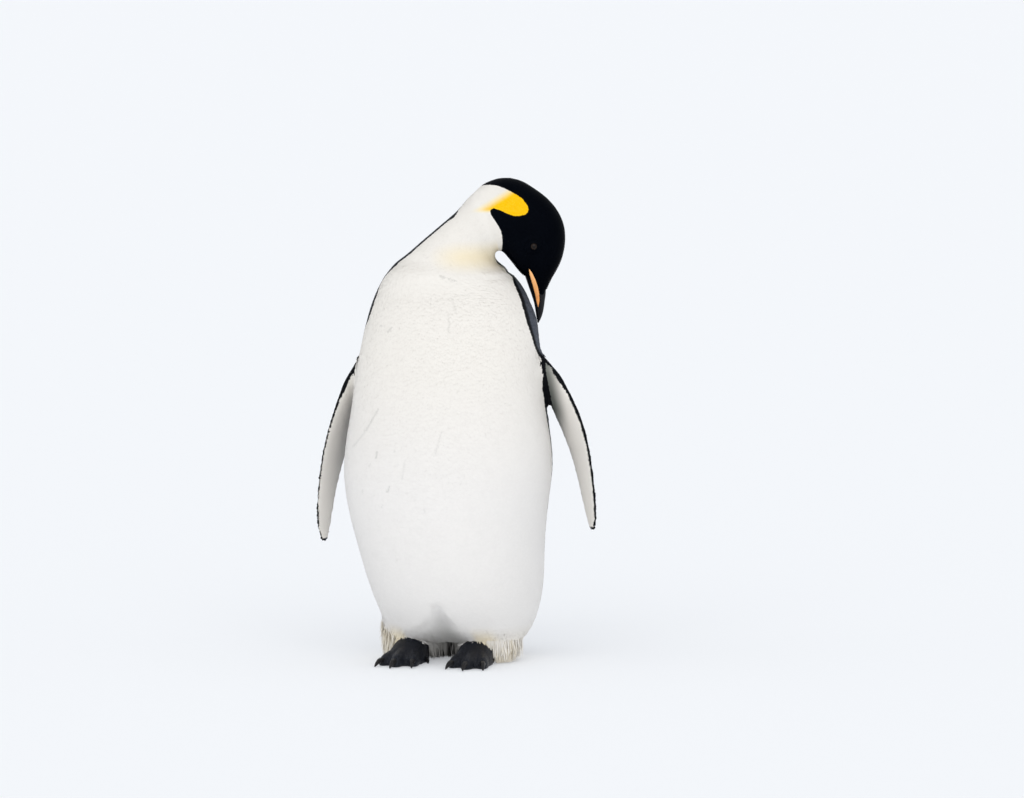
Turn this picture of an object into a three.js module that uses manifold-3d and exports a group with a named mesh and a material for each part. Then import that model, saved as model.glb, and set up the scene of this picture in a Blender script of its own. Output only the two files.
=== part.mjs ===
// An emperor penguin, life size and still: it stands on both feet and bends its head to its left shoulder.
// Millimetres, +Z up. The bird faces -Y and its own left side is +X.
import * as THREE from 'three';
import { mergeVertices } from 'three/addons/utils/BufferGeometryUtils.js';
import Module from 'manifold-3d';

const wasm = await Module();
wasm.setup();

// Gap between neighbouring pieces.
const gap = 0.3;

// Trunk, from the rump up: height of the station, half the width, depth in front of and behind the axis,
// and how far the axis has swung to the bird's left.
const trunkStations = [
  { height: 16, half: 62, front: -72, back: 138, sway: 8 },
  { height: 30, half: 104, front: -8, back: 172, sway: 8 },
  { height: 52, half: 129, front: 62, back: 182, sway: 12 },
  { height: 86, half: 148.5, front: 112, back: 192, sway: 14.5 },
  { height: 150, half: 165.5, front: 162, back: 192, sway: 15.5 },
  { height: 225, half: 177, front: 188, back: 183, sway: 10 },
  { height: 309, half: 192.5, front: 197, back: 171, sway: 5.5 },
  { height: 388, half: 201.5, front: 193, back: 157, sway: 8.5 },
  { height: 470, half: 190.5, front: 179, back: 142, sway: 9.5 },
  { height: 547, half: 180, front: 162, back: 130, sway: 8 },
  { height: 605, half: 174, front: 146, back: 119, sway: 11 },
  { height: 651, half: 166, front: 132, back: 108, sway: 13 },
  { height: 693, half: 152.5, front: 118, back: 95, sway: 11.5 },
  { height: 728, half: 135, front: 101, back: 80, sway: 9 },
];

// Neck and head bend in one upright plane, turned a little behind the bird's left. Each station joins a point
// on the outside of the bend to one on its inside, as reach along the plane and height; side is half the
// thickness across the plane.
const leanYaw = THREE.MathUtils.degToRad(15);
const leanSetBack = -14;
const neckHeadStations = [
  { outer: [-107, 759], inner: [117, 755], side: 78 },
  { outer: [-78, 782], inner: [99, 769], side: 69 },
  { outer: [-46, 810], inner: [94.5, 781], side: 62 },
  { outer: [-8, 842], inner: [94, 788], side: 57 },
  { outer: [23, 869], inner: [96, 791.5], side: 55 },
  { outer: [56, 908], inner: [101, 791.5], side: 55 },
  { outer: [84.5, 925], inner: [105, 789.5], side: 55 },
  { outer: [114.6, 931], inner: [109, 786], side: 54.5 },
  { outer: [145, 924], inner: [113.5, 780.5], side: 54 },
  { outer: [171, 907.5], inner: [118, 774.5], side: 53 },
  { outer: [196, 888.5], inner: [123, 767.5], side: 51.5 },
  { outer: [214, 865], inner: [128.6, 759.5], side: 49.5 },
  { outer: [225, 840], inner: [134.4, 751], side: 46.5 },
  { outer: [227.5, 813], inner: [140.2, 741.5], side: 42.5 },
  { outer: [224.6, 788], inner: [146, 732], side: 37.5 },
  { outer: [217, 764.5], inner: [151.7, 722], side: 32 },
  { outer: [206.5, 746], inner: [156.5, 712.5], side: 26 },
  { outer: [197, 730], inner: [161, 704], side: 20 },
  { outer: [190, 716], inner: [166, 698], side: 14.5 },
];

// Roundness of the cross sections: 2 is an ellipse, more is squarer.
const bodySquareness = 2.15;
const ringPoints = 34;
const headRingPoints = 26;

// The cut that parts trunk from neck, at a height, and the one that parts neck from head, through the
// notch under the chin, as a station's number.
const neckBaseHeight = 757;
const headCutStation = 5;

// Bill: the ridge of the upper half, the line where the halves meet and the keel of the lower half, each from
// the gape to the tip as reach and height in the plane of the bend.
const billRidge = [
  [176, 748], [187, 728], [189.5, 712], [187.6, 696], [185.2, 678], [181, 663], [175.4, 652.2],
];
const billKeel = [
  [150, 742], [156.5, 723], [162.5, 706], [167.5, 690], [170, 675], [172, 662], [174.2, 651.8],
];
const billMeeting = [
  [160, 772], [166, 742], [174, 722], [177.8, 706], [178.6, 688], [177.4, 672], [174, 659], [168, 652],
];
const billHalfWidths = [21, 15.5, 11.5, 9, 7, 4.6, 1.6];

// Coloured plate along each side of the lower half of the bill: its middle line in the plane of the bend, and
// half its width from end to end.
const plateLine = [[157.5, 757.5], [162, 745.5], [167.6, 730], [172, 713], [174.2, 697], [175, 683]];
const plateHalfWidth = 3.9;
const plateProud = 0.8;
const plateDepth = 2.4;

// Eye: a ball set into each side of the head.
const eyeRadius = 9.5;
const eyePlace = { reach: 166.5, height: 801 };
const eyeSink = 7.2;

// Flippers: reach out from the body's midline and height of the blade's middle at each station from the
// shoulder, its set back, chord and thickness, and the turn of the leading edge outward from straight ahead.
const flipperLeftStations = [
  { out: 142, height: 622, back: 10, chord: 44, thick: 20, turn: 46 },
  { out: 187, height: 570, back: 13, chord: 74, thick: 28, turn: 52 },
  { out: 214.5, height: 520, back: 16, chord: 84, thick: 21, turn: 54 },
  { out: 239.5, height: 466, back: 18, chord: 84, thick: 17, turn: 52 },
  { out: 257, height: 412, back: 20, chord: 77, thick: 14, turn: 48 },
  { out: 268, height: 362, back: 22, chord: 66, thick: 12, turn: 46 },
  { out: 275, height: 316, back: 24, chord: 55, thick: 10, turn: 45 },
  { out: 279.5, height: 280, back: 25, chord: 42, thick: 8, turn: 44 },
  { out: 281, height: 256, back: 26, chord: 18, thick: 5, turn: 44 },
];
const flipperRightStations = [
  { out: 141, height: 608, back: 4, chord: 44, thick: 20, turn: 20 },
  { out: 174, height: 553, back: 8, chord: 74, thick: 28, turn: 21 },
  { out: 196, height: 498, back: 12, chord: 85, thick: 21, turn: 22 },
  { out: 214, height: 446, back: 15, chord: 86, thick: 17, turn: 23 },
  { out: 230, height: 394, back: 18, chord: 77, thick: 14, turn: 24 },
  { out: 241.5, height: 344, back: 20, chord: 66, thick: 12, turn: 24 },
  { out: 249.5, height: 292, back: 22, chord: 56, thick: 10, turn: 24 },
  { out: 252.5, height: 248, back: 24, chord: 42, thick: 8, turn: 24 },
  { out: 251.5, height: 220, back: 25, chord: 18, thick: 5, turn: 24 },
];

// Tail: a short stiff wedge that props on the floor.
const tailStations = [
  { back: 112, height: 118, half: 66, thick: 44 },
  { back: 160, height: 88, half: 64, thick: 42 },
  { back: 204, height: 52, half: 56, thick: 28 },
  { back: 236, height: 23, half: 44, thick: 17 },
  { back: 258, height: 3, half: 29, thick: 9 },
];

// Legs: the feathered shank, and the feet, which stand forward of it.
const footSpread = 65;
const footSetBack = -20;
const footTurnOut = THREE.MathUtils.degToRad(3);
const legStations = [
  { height: 5, out: 84, back: 24, half: 36 },
  { height: 24, out: 86, back: 22, half: 43 },
  { height: 60, out: 86, back: 20, half: 48 },
  { height: 110, out: 84, back: 18, half: 50 },
];

const toeNames = ['inner', 'middle', 'outer'];
const toes = {
  inner: { turn: -15, start: [-16, -30], length: 60, width: 28, height: 32 },
  middle: { turn: 0, start: [0, -34], length: 72, width: 30, height: 35 },
  outer: { turn: 14, start: [16, -30], length: 62, width: 28, height: 32 },
};
const instepStations = [
  { back: 42, half: 20, height: 24 },
  { back: 26, half: 29, height: 44 },
  { back: 4, half: 34, height: 56 },
  { back: -20, half: 37, height: 50 },
  { back: -42, half: 38, height: 37 },
  { back: -58, half: 34, height: 26 },
];
const hindToe = { start: [-27, 2], turn: -28, length: 24, width: 13, height: 17 };
const footClearance = 0.6;
const webThickness = 6;
const webReach = 0.86;
const clawLength = 23;
const clawWidth = 11;
const hindClawLength = 13;

const materials = {
  headBlack: new THREE.MeshStandardMaterial({ color: 0x0a0b0f, roughness: 0.8, metalness: 0 }),
  belly: new THREE.MeshStandardMaterial({ color: 0xf1ede4, roughness: 0.85, metalness: 0 }),
  throat: new THREE.MeshStandardMaterial({ color: 0xf3e8c4, roughness: 0.85, metalness: 0 }),
  backBlue: new THREE.MeshStandardMaterial({ color: 0x46525c, roughness: 0.8, metalness: 0 }),
  bill: new THREE.MeshStandardMaterial({ color: 0x121318, roughness: 0.35, metalness: 0 }),
  plate: new THREE.MeshStandardMaterial({ color: 0xf59a4a, roughness: 0.4, metalness: 0 }),
  eye: new THREE.MeshStandardMaterial({ color: 0x1b100c, roughness: 0.08, metalness: 0 }),
  foot: new THREE.MeshStandardMaterial({ color: 0x26262a, roughness: 0.6, metalness: 0 }),
  claw: new THREE.MeshStandardMaterial({ color: 0x0d0d0f, roughness: 0.35, metalness: 0 }),
};

const penguin = new THREE.Group();

// Solids and meshes ---------------------------------------------------------------------------------------

// A closed surface through rings of equal point counts, with a fan over each end.
function loft(rings) {
  const count = rings[0].length;
  const points = rings.flat();
  const faces = [];
  for (let row = 0; row + 1 < rings.length; row += 1) {
    for (let column = 0; column < count; column += 1) {
      const next = (column + 1) % count;
      const a = row * count + column;
      const b = row * count + next;
      faces.push(a, b, b + count, a, b + count, a + count);
    }
  }
  for (const [row, firstFace] of [[0, true], [rings.length - 1, false]]) {
    const middle = new THREE.Vector3();
    rings[row].forEach((point) => middle.addScaledVector(point, 1 / count));
    points.push(middle);
    const hub = points.length - 1;
    for (let column = 0; column < count; column += 1) {
      const a = row * count + column;
      const b = row * count + ((column + 1) % count);
      faces.push(...(firstFace ? [hub, b, a] : [hub, a, b]));
    }
  }
  return solidFrom(points, faces);
}

function solidFrom(points, faces) {
  const geometry = new THREE.BufferGeometry().setFromPoints(points);
  geometry.setIndex(faces);
  return solidOf(geometry);
}

function solidOf(source) {
  const bare = source.clone();
  bare.deleteAttribute('normal');
  bare.deleteAttribute('uv');
  const merged = mergeVertices(bare, 1e-4);
  const mesh = new wasm.Mesh({
    numProp: 3,
    vertProperties: new Float32Array(merged.attributes.position.array),
    triVerts: new Uint32Array(merged.index.array),
  });
  const solid = new wasm.Manifold(mesh);
  return solid.volume() < 0 ? solidFlipped(mesh) : solid;
}

function solidFlipped(mesh) {
  const turned = mesh.triVerts.slice();
  for (let corner = 0; corner < turned.length; corner += 3) {
    [turned[corner], turned[corner + 1]] = [turned[corner + 1], turned[corner]];
  }
  const turnedMesh = new wasm.Mesh({ numProp: 3, vertProperties: mesh.vertProperties, triVerts: turned });
  return new wasm.Manifold(turnedMesh);
}

function geometryOf(solid) {
  const mesh = solid.getMesh();
  const geometry = new THREE.BufferGeometry();
  geometry.setAttribute('position', new THREE.BufferAttribute(mesh.vertProperties, 3));
  geometry.setIndex(new THREE.BufferAttribute(mesh.triVerts, 1));
  return geometry;
}

// The largest of the bodies that a cut leaves.
function largestBody(solid) {
  return solid.decompose().sort((a, b) => b.volume() - a.volume())[0];
}

function addPiece(name, solid, material) {
  const geometry = geometryOf(largestBody(solid)).toNonIndexed();
  geometry.computeVertexNormals();
  const mesh = new THREE.Mesh(geometry, material);
  mesh.name = name;
  penguin.add(mesh);
}

// A ring round a centre: cosines run along the across axis and sines along the deep axis, rounded as a
// superellipse. The half sizes may differ on the two sides of the deep axis.
function roundRing(centre, across, deep, half, deepPlus, deepMinus, count, squareness = bodySquareness) {
  const ring = [];
  for (let step = 0; step < count; step += 1) {
    const angle = (step / count) * 2 * Math.PI;
    const cosine = Math.cos(angle);
    const sine = Math.sin(angle);
    const x = half * Math.sign(cosine) * Math.abs(cosine) ** (2 / squareness);
    const y = (sine > 0 ? deepPlus : deepMinus) * Math.sign(sine) * Math.abs(sine) ** (2 / squareness);
    ring.push(centre.clone().addScaledVector(across, x).addScaledVector(deep, y));
  }
  return ring;
}

// Smooth values between stations: each column of numbers runs through a spline of its own.
function smoothColumns(rows) {
  const width = rows[0].length;
  const curves = [];
  for (let column = 0; column < width; column += 1) {
    const knots = rows.map((row, index) => new THREE.Vector2(index, row[column]));
    curves.push(new THREE.SplineCurve(knots));
  }
  const last = rows.length - 1;
  return (station) => curves.map((curve) => curve.getPoint(THREE.MathUtils.clamp(station / last, 0, 1)).y);
}

// Body: one smooth form from rump to forehead ------------------------------------------------------------

// Every station as: outer point and inner point of the width (reach, height), depth in front and behind, yaw.
const bodyRows = [
  ...trunkStations.map((s) => [s.sway - s.half, s.height, s.sway + s.half, s.height, s.front, s.back, 0]),
  ...neckHeadStations.map(
    (s) => [...s.outer, ...s.inner, s.side - leanSetBack, s.side + leanSetBack, leanYaw],
  ),
];
const shoulderYawShare = [0.25, 0.5, 0.75];
shoulderYawShare.forEach((share, index) => {
  bodyRows[trunkStations.length - shoulderYawShare.length + index][6] = leanYaw * share;
});
const bodyAt = smoothColumns(bodyRows);
const firstNeckStation = trunkStations.length;
const lastBodyStation = bodyRows.length - 1;

function bodyFrame(station) {
  const [outerReach, outerHeight, innerReach, innerHeight, front, back, yaw] = bodyAt(station);
  const lean = new THREE.Vector3(Math.cos(yaw), Math.sin(yaw), 0);
  const rearward = new THREE.Vector3(-Math.sin(yaw), Math.cos(yaw), 0);
  const outer = lean.clone().multiplyScalar(outerReach).setZ(outerHeight);
  const inner = lean.clone().multiplyScalar(innerReach).setZ(innerHeight);
  const across = inner.clone().sub(outer);
  const half = across.length() / 2;
  across.normalize();
  const centre = outer.clone().add(inner).multiplyScalar(0.5);
  centre.addScaledVector(rearward, (back - front) / 2);
  return { centre, across, rearward, half, deep: (front + back) / 2 };
}

function bodyRing(station, grow, count) {
  const frame = bodyFrame(station);
  const half = frame.half + grow;
  const deep = frame.deep + grow;
  return roundRing(frame.centre, frame.across, frame.rearward, half, deep, deep, count);
}

function bodyLoft(first, last, steps, grow, count) {
  const rings = [];
  for (let step = 0; step <= steps; step += 1) {
    rings.push(bodyRing(first + ((last - first) * step) / steps, grow, count));
  }
  return loft(rings);
}

const trunkSteps = 23;
const neckSteps = 8;
const headSteps = 16;
const overlap = 0.3;
const headCut = firstNeckStation + headCutStation;
const makeTrunk = (grow) => bodyLoft(0, firstNeckStation + overlap, trunkSteps, grow, ringPoints);
const makeNeck = (grow) =>
  bodyLoft(firstNeckStation - overlap, headCut + overlap, neckSteps, grow, headRingPoints);
const makeHead = (grow) => bodyLoft(headCut - overlap, lastBodyStation, headSteps, grow, headRingPoints);

// The plane of the cut between neck and head, facing the head.
const headCutFrame = bodyFrame(headCut);
const headCutNormal = new THREE.Vector3()
  .crossVectors(headCutFrame.across, headCutFrame.rearward)
  .normalize();
if (headCutNormal.dot(bodyFrame(headCut + 1).centre.clone().sub(headCutFrame.centre)) < 0) {
  headCutNormal.negate();
}
const headCutOffset = headCutNormal.dot(headCutFrame.centre);

function keepAhead(solid, normal, offset) {
  return solid.trimByPlane([normal.x, normal.y, normal.z], offset + gap / 2);
}

function keepBehind(solid, normal, offset) {
  return solid.trimByPlane([-normal.x, -normal.y, -normal.z], -offset + gap / 2);
}

const up = new THREE.Vector3(0, 0, 1);
const trunkWhole = keepBehind(makeTrunk(0), up, neckBaseHeight);
const trunkGrown = makeTrunk(gap);

// Bill and plates ------------------------------------------------------------------------------------------

const leanAxis = new THREE.Vector3(Math.cos(leanYaw), Math.sin(leanYaw), 0);
const sideAxis = new THREE.Vector3(-Math.sin(leanYaw), Math.cos(leanYaw), 0);

function leanPoint(reach, height, side = 0) {
  return leanAxis.clone().multiplyScalar(reach).addScaledVector(sideAxis, leanSetBack + side).setZ(height);
}

const billRows = billRidge.map((point, index) => [...point, ...billKeel[index], billHalfWidths[index]]);
const billAt = smoothColumns(billRows);
const billSteps = 10;
const billRingPoints = 12;

function makeBill(grow) {
  const rings = [];
  for (let step = 0; step <= billSteps; step += 1) {
    const station = ((billRows.length - 1) * step) / billSteps;
    const [ridgeReach, ridgeHeight, keelReach, keelHeight, width] = billAt(station);
    const ridge = leanPoint(ridgeReach, ridgeHeight);
    const keel = leanPoint(keelReach, keelHeight);
    const across = keel.clone().sub(ridge);
    const half = across.length() / 2 + grow;
    across.normalize();
    const centre = ridge.clone().add(keel).multiplyScalar(0.5);
    rings.push(roundRing(centre, across, sideAxis, half, width + grow, width + grow, billRingPoints, 2));
  }
  return loft(rings);
}

// A slab across the plane of the bend, over an outline given in that plane.
function slabOver(outline, from, to) {
  const shape = new THREE.Shape(outline.map(([reach, height]) => new THREE.Vector2(reach, height)));
  const geometry = new THREE.ExtrudeGeometry(shape, { depth: to - from, bevelEnabled: false, steps: 1 });
  const basis = new THREE.Matrix4().makeBasis(leanAxis, up, sideAxis.clone());
  basis.setPosition(sideAxis.clone().multiplyScalar(leanSetBack + from));
  geometry.applyMatrix4(basis);
  return solidOf(geometry);
}

// Everything on the keel's side of the meeting line, moved by a distance off that line.
function keelSide(shift) {
  const line = new THREE.SplineCurve(billMeeting.map(([reach, height]) => new THREE.Vector2(reach, height)));
  const edge = line.getPoints(16).map((point) => [point.x + shift, point.y]);
  const far = 80;
  const lowerCorner = [edge.at(-1)[0] - far, edge.at(-1)[1]];
  const upperCorner = [edge[0][0] - far, edge[0][1]];
  return slabOver([...edge, lowerCorner, upperCorner], -far, far);
}

const bill = makeBill(0);
const beyondBillLine = keelSide(gap / 2);
const withinBillLine = keelSide(-gap / 2);
const billTipShorten = 5;
const lowerBillFloor = billRidge.at(-1)[1] + billTipShorten;

// A leaf-shaped outline along the plate's middle line.
function plateRegion(grow, side) {
  const steps = 6;
  const line = new THREE.SplineCurve(plateLine.map(([reach, height]) => new THREE.Vector2(reach, height)));
  const edges = { upper: [], lower: [] };
  for (let step = 1; step < steps; step += 1) {
    const share = step / steps;
    const point = line.getPoint(share);
    const along = line.getTangent(share);
    const half = plateHalfWidth * Math.sin(Math.PI * share) ** 0.6 + grow;
    edges.upper.push([point.x - along.y * half, point.y + along.x * half]);
    edges.lower.unshift([point.x + along.y * half, point.y - along.x * half]);
  }
  const ends = [0, 1].map((share) => {
    const outward = line.getTangent(share).multiplyScalar((share * 2 - 1) * 4 * grow);
    return line.getPoint(share).add(outward).toArray();
  });
  const outline = [ends[0], ...edges.upper, ends[1], ...edges.lower];
  return side > 0 ? slabOver(outline, 0, 60) : slabOver(outline, -60, 0);
}

const headWhole = makeHead(0);
const faceSkin = (grow) => makeHead(grow).add(makeBill(grow));
const plateShell = faceSkin(plateProud).subtract(faceSkin(-plateDepth));
const plateShellGrown = faceSkin(plateProud + gap).subtract(faceSkin(-plateDepth - gap));
const plateSolids = {};
const plateClearance = {};
for (const [name, side] of [['right', -1], ['left', 1]]) {
  plateSolids[name] = plateShell.intersect(plateRegion(0, side));
  plateClearance[name] = plateShellGrown.intersect(plateRegion(2 * gap, side));
}
const bothPlates = plateClearance.right.add(plateClearance.left);

const billUpper = bill.subtract(beyondBillLine).subtract(bothPlates);
const billLower = bill.intersect(withinBillLine).trimByPlane([0, 0, 1], lowerBillFloor).subtract(bothPlates);

// Eyes -----------------------------------------------------------------------------------------------------

// Half thickness of the head at the eye, from the station whose width passes nearest to it.
function headSideAt(reach, height) {
  let best = { distance: Infinity, side: 0 };
  for (let station = headCut; station <= lastBodyStation; station += 0.05) {
    const frame = bodyFrame(station);
    const offset = leanPoint(reach, height).sub(frame.centre);
    const along = offset.dot(frame.across);
    const distance = offset.addScaledVector(frame.across, -along).length();
    const share = Math.min(Math.abs(along) / frame.half, 1);
    const side = frame.deep * (1 - share ** bodySquareness) ** (1 / bodySquareness);
    if (distance < best.distance) {
      best = { distance, side };
    }
  }
  return best.side;
}

function eyeBall(side, radius) {
  const centreSide = headSideAt(eyePlace.reach, eyePlace.height) - eyeSink;
  const geometry = new THREE.SphereGeometry(radius, 12, 8);
  geometry.translate(...leanPoint(eyePlace.reach, eyePlace.height, side * centreSide).toArray());
  return solidOf(geometry);
}

const headPieces = [makeBill(gap), bothPlates, eyeBall(-1, eyeRadius + gap), eyeBall(1, eyeRadius + gap)];
const headSolid = headPieces.reduce(
  (solid, piece) => solid.subtract(piece),
  keepAhead(headWhole, headCutNormal, headCutOffset),
);
const neckSolid = keepAhead(keepBehind(makeNeck(0), headCutNormal, headCutOffset), up, neckBaseHeight);

// Flippers -------------------------------------------------------------------------------------------------

const flipperSteps = 12;
const flipperRingPoints = 14;
const flipperSquareness = 1.75;

function makeFlipper(stations, side) {
  const rows = stations.map((s) => [s.out, s.height, s.back, s.chord, s.thick, s.turn]);
  const at = smoothColumns(rows);
  const rings = [];
  for (let step = 0; step <= flipperSteps; step += 1) {
    const [out, height, back, chord, thick, turn] = at(((rows.length - 1) * step) / flipperSteps);
    const angle = THREE.MathUtils.degToRad(turn);
    const centre = new THREE.Vector3(side * out, back, height);
    const leading = new THREE.Vector3(side * Math.sin(angle), -Math.cos(angle), 0);
    const face = new THREE.Vector3(side * Math.cos(angle), Math.sin(angle), 0);
    const halfThick = thick / 2;
    rings.push(
      roundRing(centre, leading, face, chord / 2, halfThick, halfThick, flipperRingPoints, flipperSquareness),
    );
  }
  return loft(rings);
}

// Tail -----------------------------------------------------------------------------------------------------

const floorNormal = [0, 0, 1];

function makeTail() {
  const rings = tailStations.map((s, index) => {
    const next = tailStations[Math.min(index + 1, tailStations.length - 1)];
    const last = tailStations[Math.max(index - 1, 0)];
    const along = new THREE.Vector3(0, next.back - last.back, next.height - last.height).normalize();
    const across = new THREE.Vector3(1, 0, 0);
    const thickness = new THREE.Vector3().crossVectors(across, along);
    const centre = new THREE.Vector3(trunkStations[0].sway, s.back, s.height);
    return roundRing(centre, across, thickness, s.half, s.thick / 2, s.thick / 2, 16, 2.4);
  });
  return loft(rings).trimByPlane(floorNormal, 0);
}

// Legs and feet --------------------------------------------------------------------------------------------

function makeLeg(side) {
  const rings = legStations.map((s) => roundRing(
    new THREE.Vector3(side * s.out, s.back, s.height),
    new THREE.Vector3(1, 0, 0),
    new THREE.Vector3(0, 1, 0),
    s.half,
    s.half,
    s.half,
    12,
    2,
  ));
  return loft(rings);
}

// A ring in the foot's own frame, arched above a flat sole.
function archRing(centre, across, half, height, grow, count = 8) {
  const ring = [];
  for (let step = 0; step < count; step += 1) {
    const angle = (step / (count - 1)) * Math.PI;
    const x = (half + grow) * Math.cos(angle);
    const z = (height + 2 * grow) * Math.sin(angle) ** 0.75;
    ring.push(centre.clone().addScaledVector(across, x).setZ(z - grow));
  }
  return ring;
}

const footForward = (degrees) => {
  const angle = THREE.MathUtils.degToRad(degrees);
  return new THREE.Vector3(Math.sin(angle), -Math.cos(angle), 0);
};

function makeToe(toe, grow) {
  const forward = footForward(toe.turn);
  const across = new THREE.Vector3(-forward.y, forward.x, 0);
  const start = new THREE.Vector3(toe.start[0], toe.start[1], 0);
  const swell = [[0, 0.94, 0.98], [0.35, 0.98, 0.92], [0.75, 0.88, 0.74], [0.94, 0.66, 0.54], [1, 0.4, 0.34]];
  const rings = swell.map(([share, width, height]) => {
    const centre = start.clone().addScaledVector(forward, toe.length * share + (share === 1 ? grow : 0));
    return archRing(centre, across, (toe.width * width) / 2, toe.height * height, grow);
  });
  return loft(rings);
}

function toePoint(toe, share) {
  const start = new THREE.Vector3(toe.start[0], toe.start[1], 0);
  return start.addScaledVector(footForward(toe.turn), toe.length * share);
}

// Skin between two toes: a thin plate with a hollow front edge.
function makeWeb(first, second, grow) {
  const root = toePoint(first, -0.2).add(toePoint(second, -0.2)).multiplyScalar(0.5);
  const a = toePoint(first, webReach);
  const b = toePoint(second, webReach);
  const hollow = a.clone().add(b).multiplyScalar(0.5).lerp(root, 0.22);
  const shape = new THREE.Shape();
  shape.moveTo(root.x, root.y);
  shape.lineTo(a.x, a.y);
  shape.quadraticCurveTo(hollow.x, hollow.y, b.x, b.y);
  shape.closePath();
  const depth = webThickness + grow;
  const geometry = new THREE.ExtrudeGeometry(shape, { depth, bevelEnabled: false, curveSegments: 3 });
  return solidOf(geometry);
}

function makeInstep(grow) {
  const across = new THREE.Vector3(1, 0, 0);
  const rings = instepStations.map((s, index) => {
    const end = index === 0 ? grow : 0;
    return archRing(new THREE.Vector3(0, s.back + end, 0), across, s.half, s.height, grow, 9);
  });
  return loft(rings);
}

function makeClaw(toe, length, grow) {
  const forward = footForward(toe.turn);
  const across = new THREE.Vector3(-forward.y, forward.x, 0);
  const root = toePoint(toe, 1).addScaledVector(forward, -length * 0.32);
  const width = clawWidth * Math.sqrt(length / clawLength);
  const rise = toe.height * 0.36;
  const bend = [
    [0, 1, 0.9], [0.25, 1, 1], [0.5, 0.86, 0.9], [0.72, 0.66, 0.66], [0.88, 0.44, 0.38], [1, 0.14, 0.14],
  ];
  const rings = bend.map(([share, size, lift]) => {
    const thick = (width * size) / 2 + grow;
    const centre = root.clone().addScaledVector(forward, length * share * 1.25 + (share === 1 ? grow : 0));
    centre.setZ(Math.max(rise * lift, thick + 0.6));
    return roundRing(centre, across, up, thick, thick, thick, 6, 2);
  });
  return loft(rings);
}

function placeFoot(solid, side) {
  const mirrored = side > 0 ? solid : solid.mirror([1, 0, 0]);
  const turned = mirrored.rotate([0, 0, side * THREE.MathUtils.radToDeg(footTurnOut)]);
  return turned.translate([side * footSpread, footSetBack, 0]);
}

const allToes = toeNames.map((name) => toes[name]);

function makeFoot(grow) {
  const webs = [makeWeb(toes.inner, toes.middle, grow), makeWeb(toes.middle, toes.outer, grow)];
  return [makeInstep(grow), ...allToes.map((toe) => makeToe(toe, grow)), ...webs, makeToe(hindToe, grow)]
    .reduce((sum, solid) => sum.add(solid));
}

const claws = [...allToes.map((toe) => [toe, clawLength]), [hindToe, hindClawLength]];
const clawClearance = claws
  .map(([toe, length]) => makeClaw(toe, length, gap))
  .reduce((sum, solid) => sum.add(solid));
const footSolid = makeFoot(0).subtract(clawClearance);
const footGrown = makeFoot(footClearance);

// The bird -------------------------------------------------------------------------------------------------

const legClearance = [-1, 1].map((side) => makeLeg(side)).reduce((sum, solid) => sum.add(solid));
const tail = makeTail().subtract(trunkGrown);
const feetGrown = placeFoot(footGrown, -1).add(placeFoot(footGrown, 1));

addPiece('trunk', trunkWhole.subtract(feetGrown), materials.belly);
addPiece('neck', neckSolid, materials.throat);
addPiece('head', headSolid, materials.headBlack);
addPiece('tail', tail.subtract(legClearance), materials.backBlue);
addPiece('bill_upper', billUpper, materials.bill);
addPiece('bill_lower', billLower, materials.bill);

const sides = [['right', -1, flipperRightStations], ['left', 1, flipperLeftStations]];
for (const [name, side, flipperStations] of sides) {
  addPiece(`bill_plate_${name}`, plateSolids[name], materials.plate);
  addPiece(`eye_${name}`, eyeBall(side, eyeRadius), materials.eye);
  addPiece(`flipper_${name}`, makeFlipper(flipperStations, side).subtract(trunkGrown), materials.backBlue);
  addPiece(`leg_${name}`, makeLeg(side).subtract(trunkGrown).subtract(feetGrown), materials.belly);
  addPiece(`foot_${name}`, placeFoot(footSolid, side), materials.foot);
  claws.forEach(([toe, length], index) => {
    const clawName = index < toeNames.length ? toeNames[index] : 'hind';
    addPiece(`claw_${clawName}_${name}`, placeFoot(makeClaw(toe, length, 0), side), materials.claw);
  });
}

// The origin is under the middle of the bird's box, on the floor.
const box = new THREE.Box3().setFromObject(penguin);
penguin.position.set(-(box.min.x + box.max.x) / 2, -(box.min.y + box.max.y) / 2, -box.min.z);
penguin.updateMatrixWorld(true);

export default penguin;
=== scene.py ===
import math

import bmesh
import bpy
import numpy as np
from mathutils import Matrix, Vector
from mathutils.bvhtree import BVHTree


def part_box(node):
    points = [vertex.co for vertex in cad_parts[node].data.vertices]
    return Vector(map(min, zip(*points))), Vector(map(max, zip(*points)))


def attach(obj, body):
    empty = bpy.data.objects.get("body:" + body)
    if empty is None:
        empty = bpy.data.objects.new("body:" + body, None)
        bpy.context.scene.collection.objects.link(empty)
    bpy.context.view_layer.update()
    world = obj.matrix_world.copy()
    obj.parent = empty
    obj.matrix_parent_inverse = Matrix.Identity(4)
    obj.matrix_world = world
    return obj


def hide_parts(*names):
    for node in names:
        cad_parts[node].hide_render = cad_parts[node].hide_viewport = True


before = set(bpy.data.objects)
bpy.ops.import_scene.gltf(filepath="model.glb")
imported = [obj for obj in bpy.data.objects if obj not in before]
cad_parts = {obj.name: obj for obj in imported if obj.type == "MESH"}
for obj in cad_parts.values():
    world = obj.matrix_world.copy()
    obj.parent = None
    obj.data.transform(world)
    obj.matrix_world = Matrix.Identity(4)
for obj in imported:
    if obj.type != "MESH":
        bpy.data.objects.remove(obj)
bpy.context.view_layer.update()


# Skin. ------------------------------------------------------------------------------------------------
# One hide covers the whole bird, from the bill's base to the soles, and lies inside the plumage by the
# plumage's depth. It is made as one closed form over the body's pieces, then smoothed and drawn in.

flesh_nodes = ["trunk", "neck", "head", "tail", "flipper_right", "flipper_left",
               "leg_right", "leg_left", "foot_right", "foot_left"]
eye_nodes = ["eye_right", "eye_left"]
skin_voxel = 0.0036
seam_closing = 0.0004  # each piece grows by this, so that pieces that only touch become one

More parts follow.
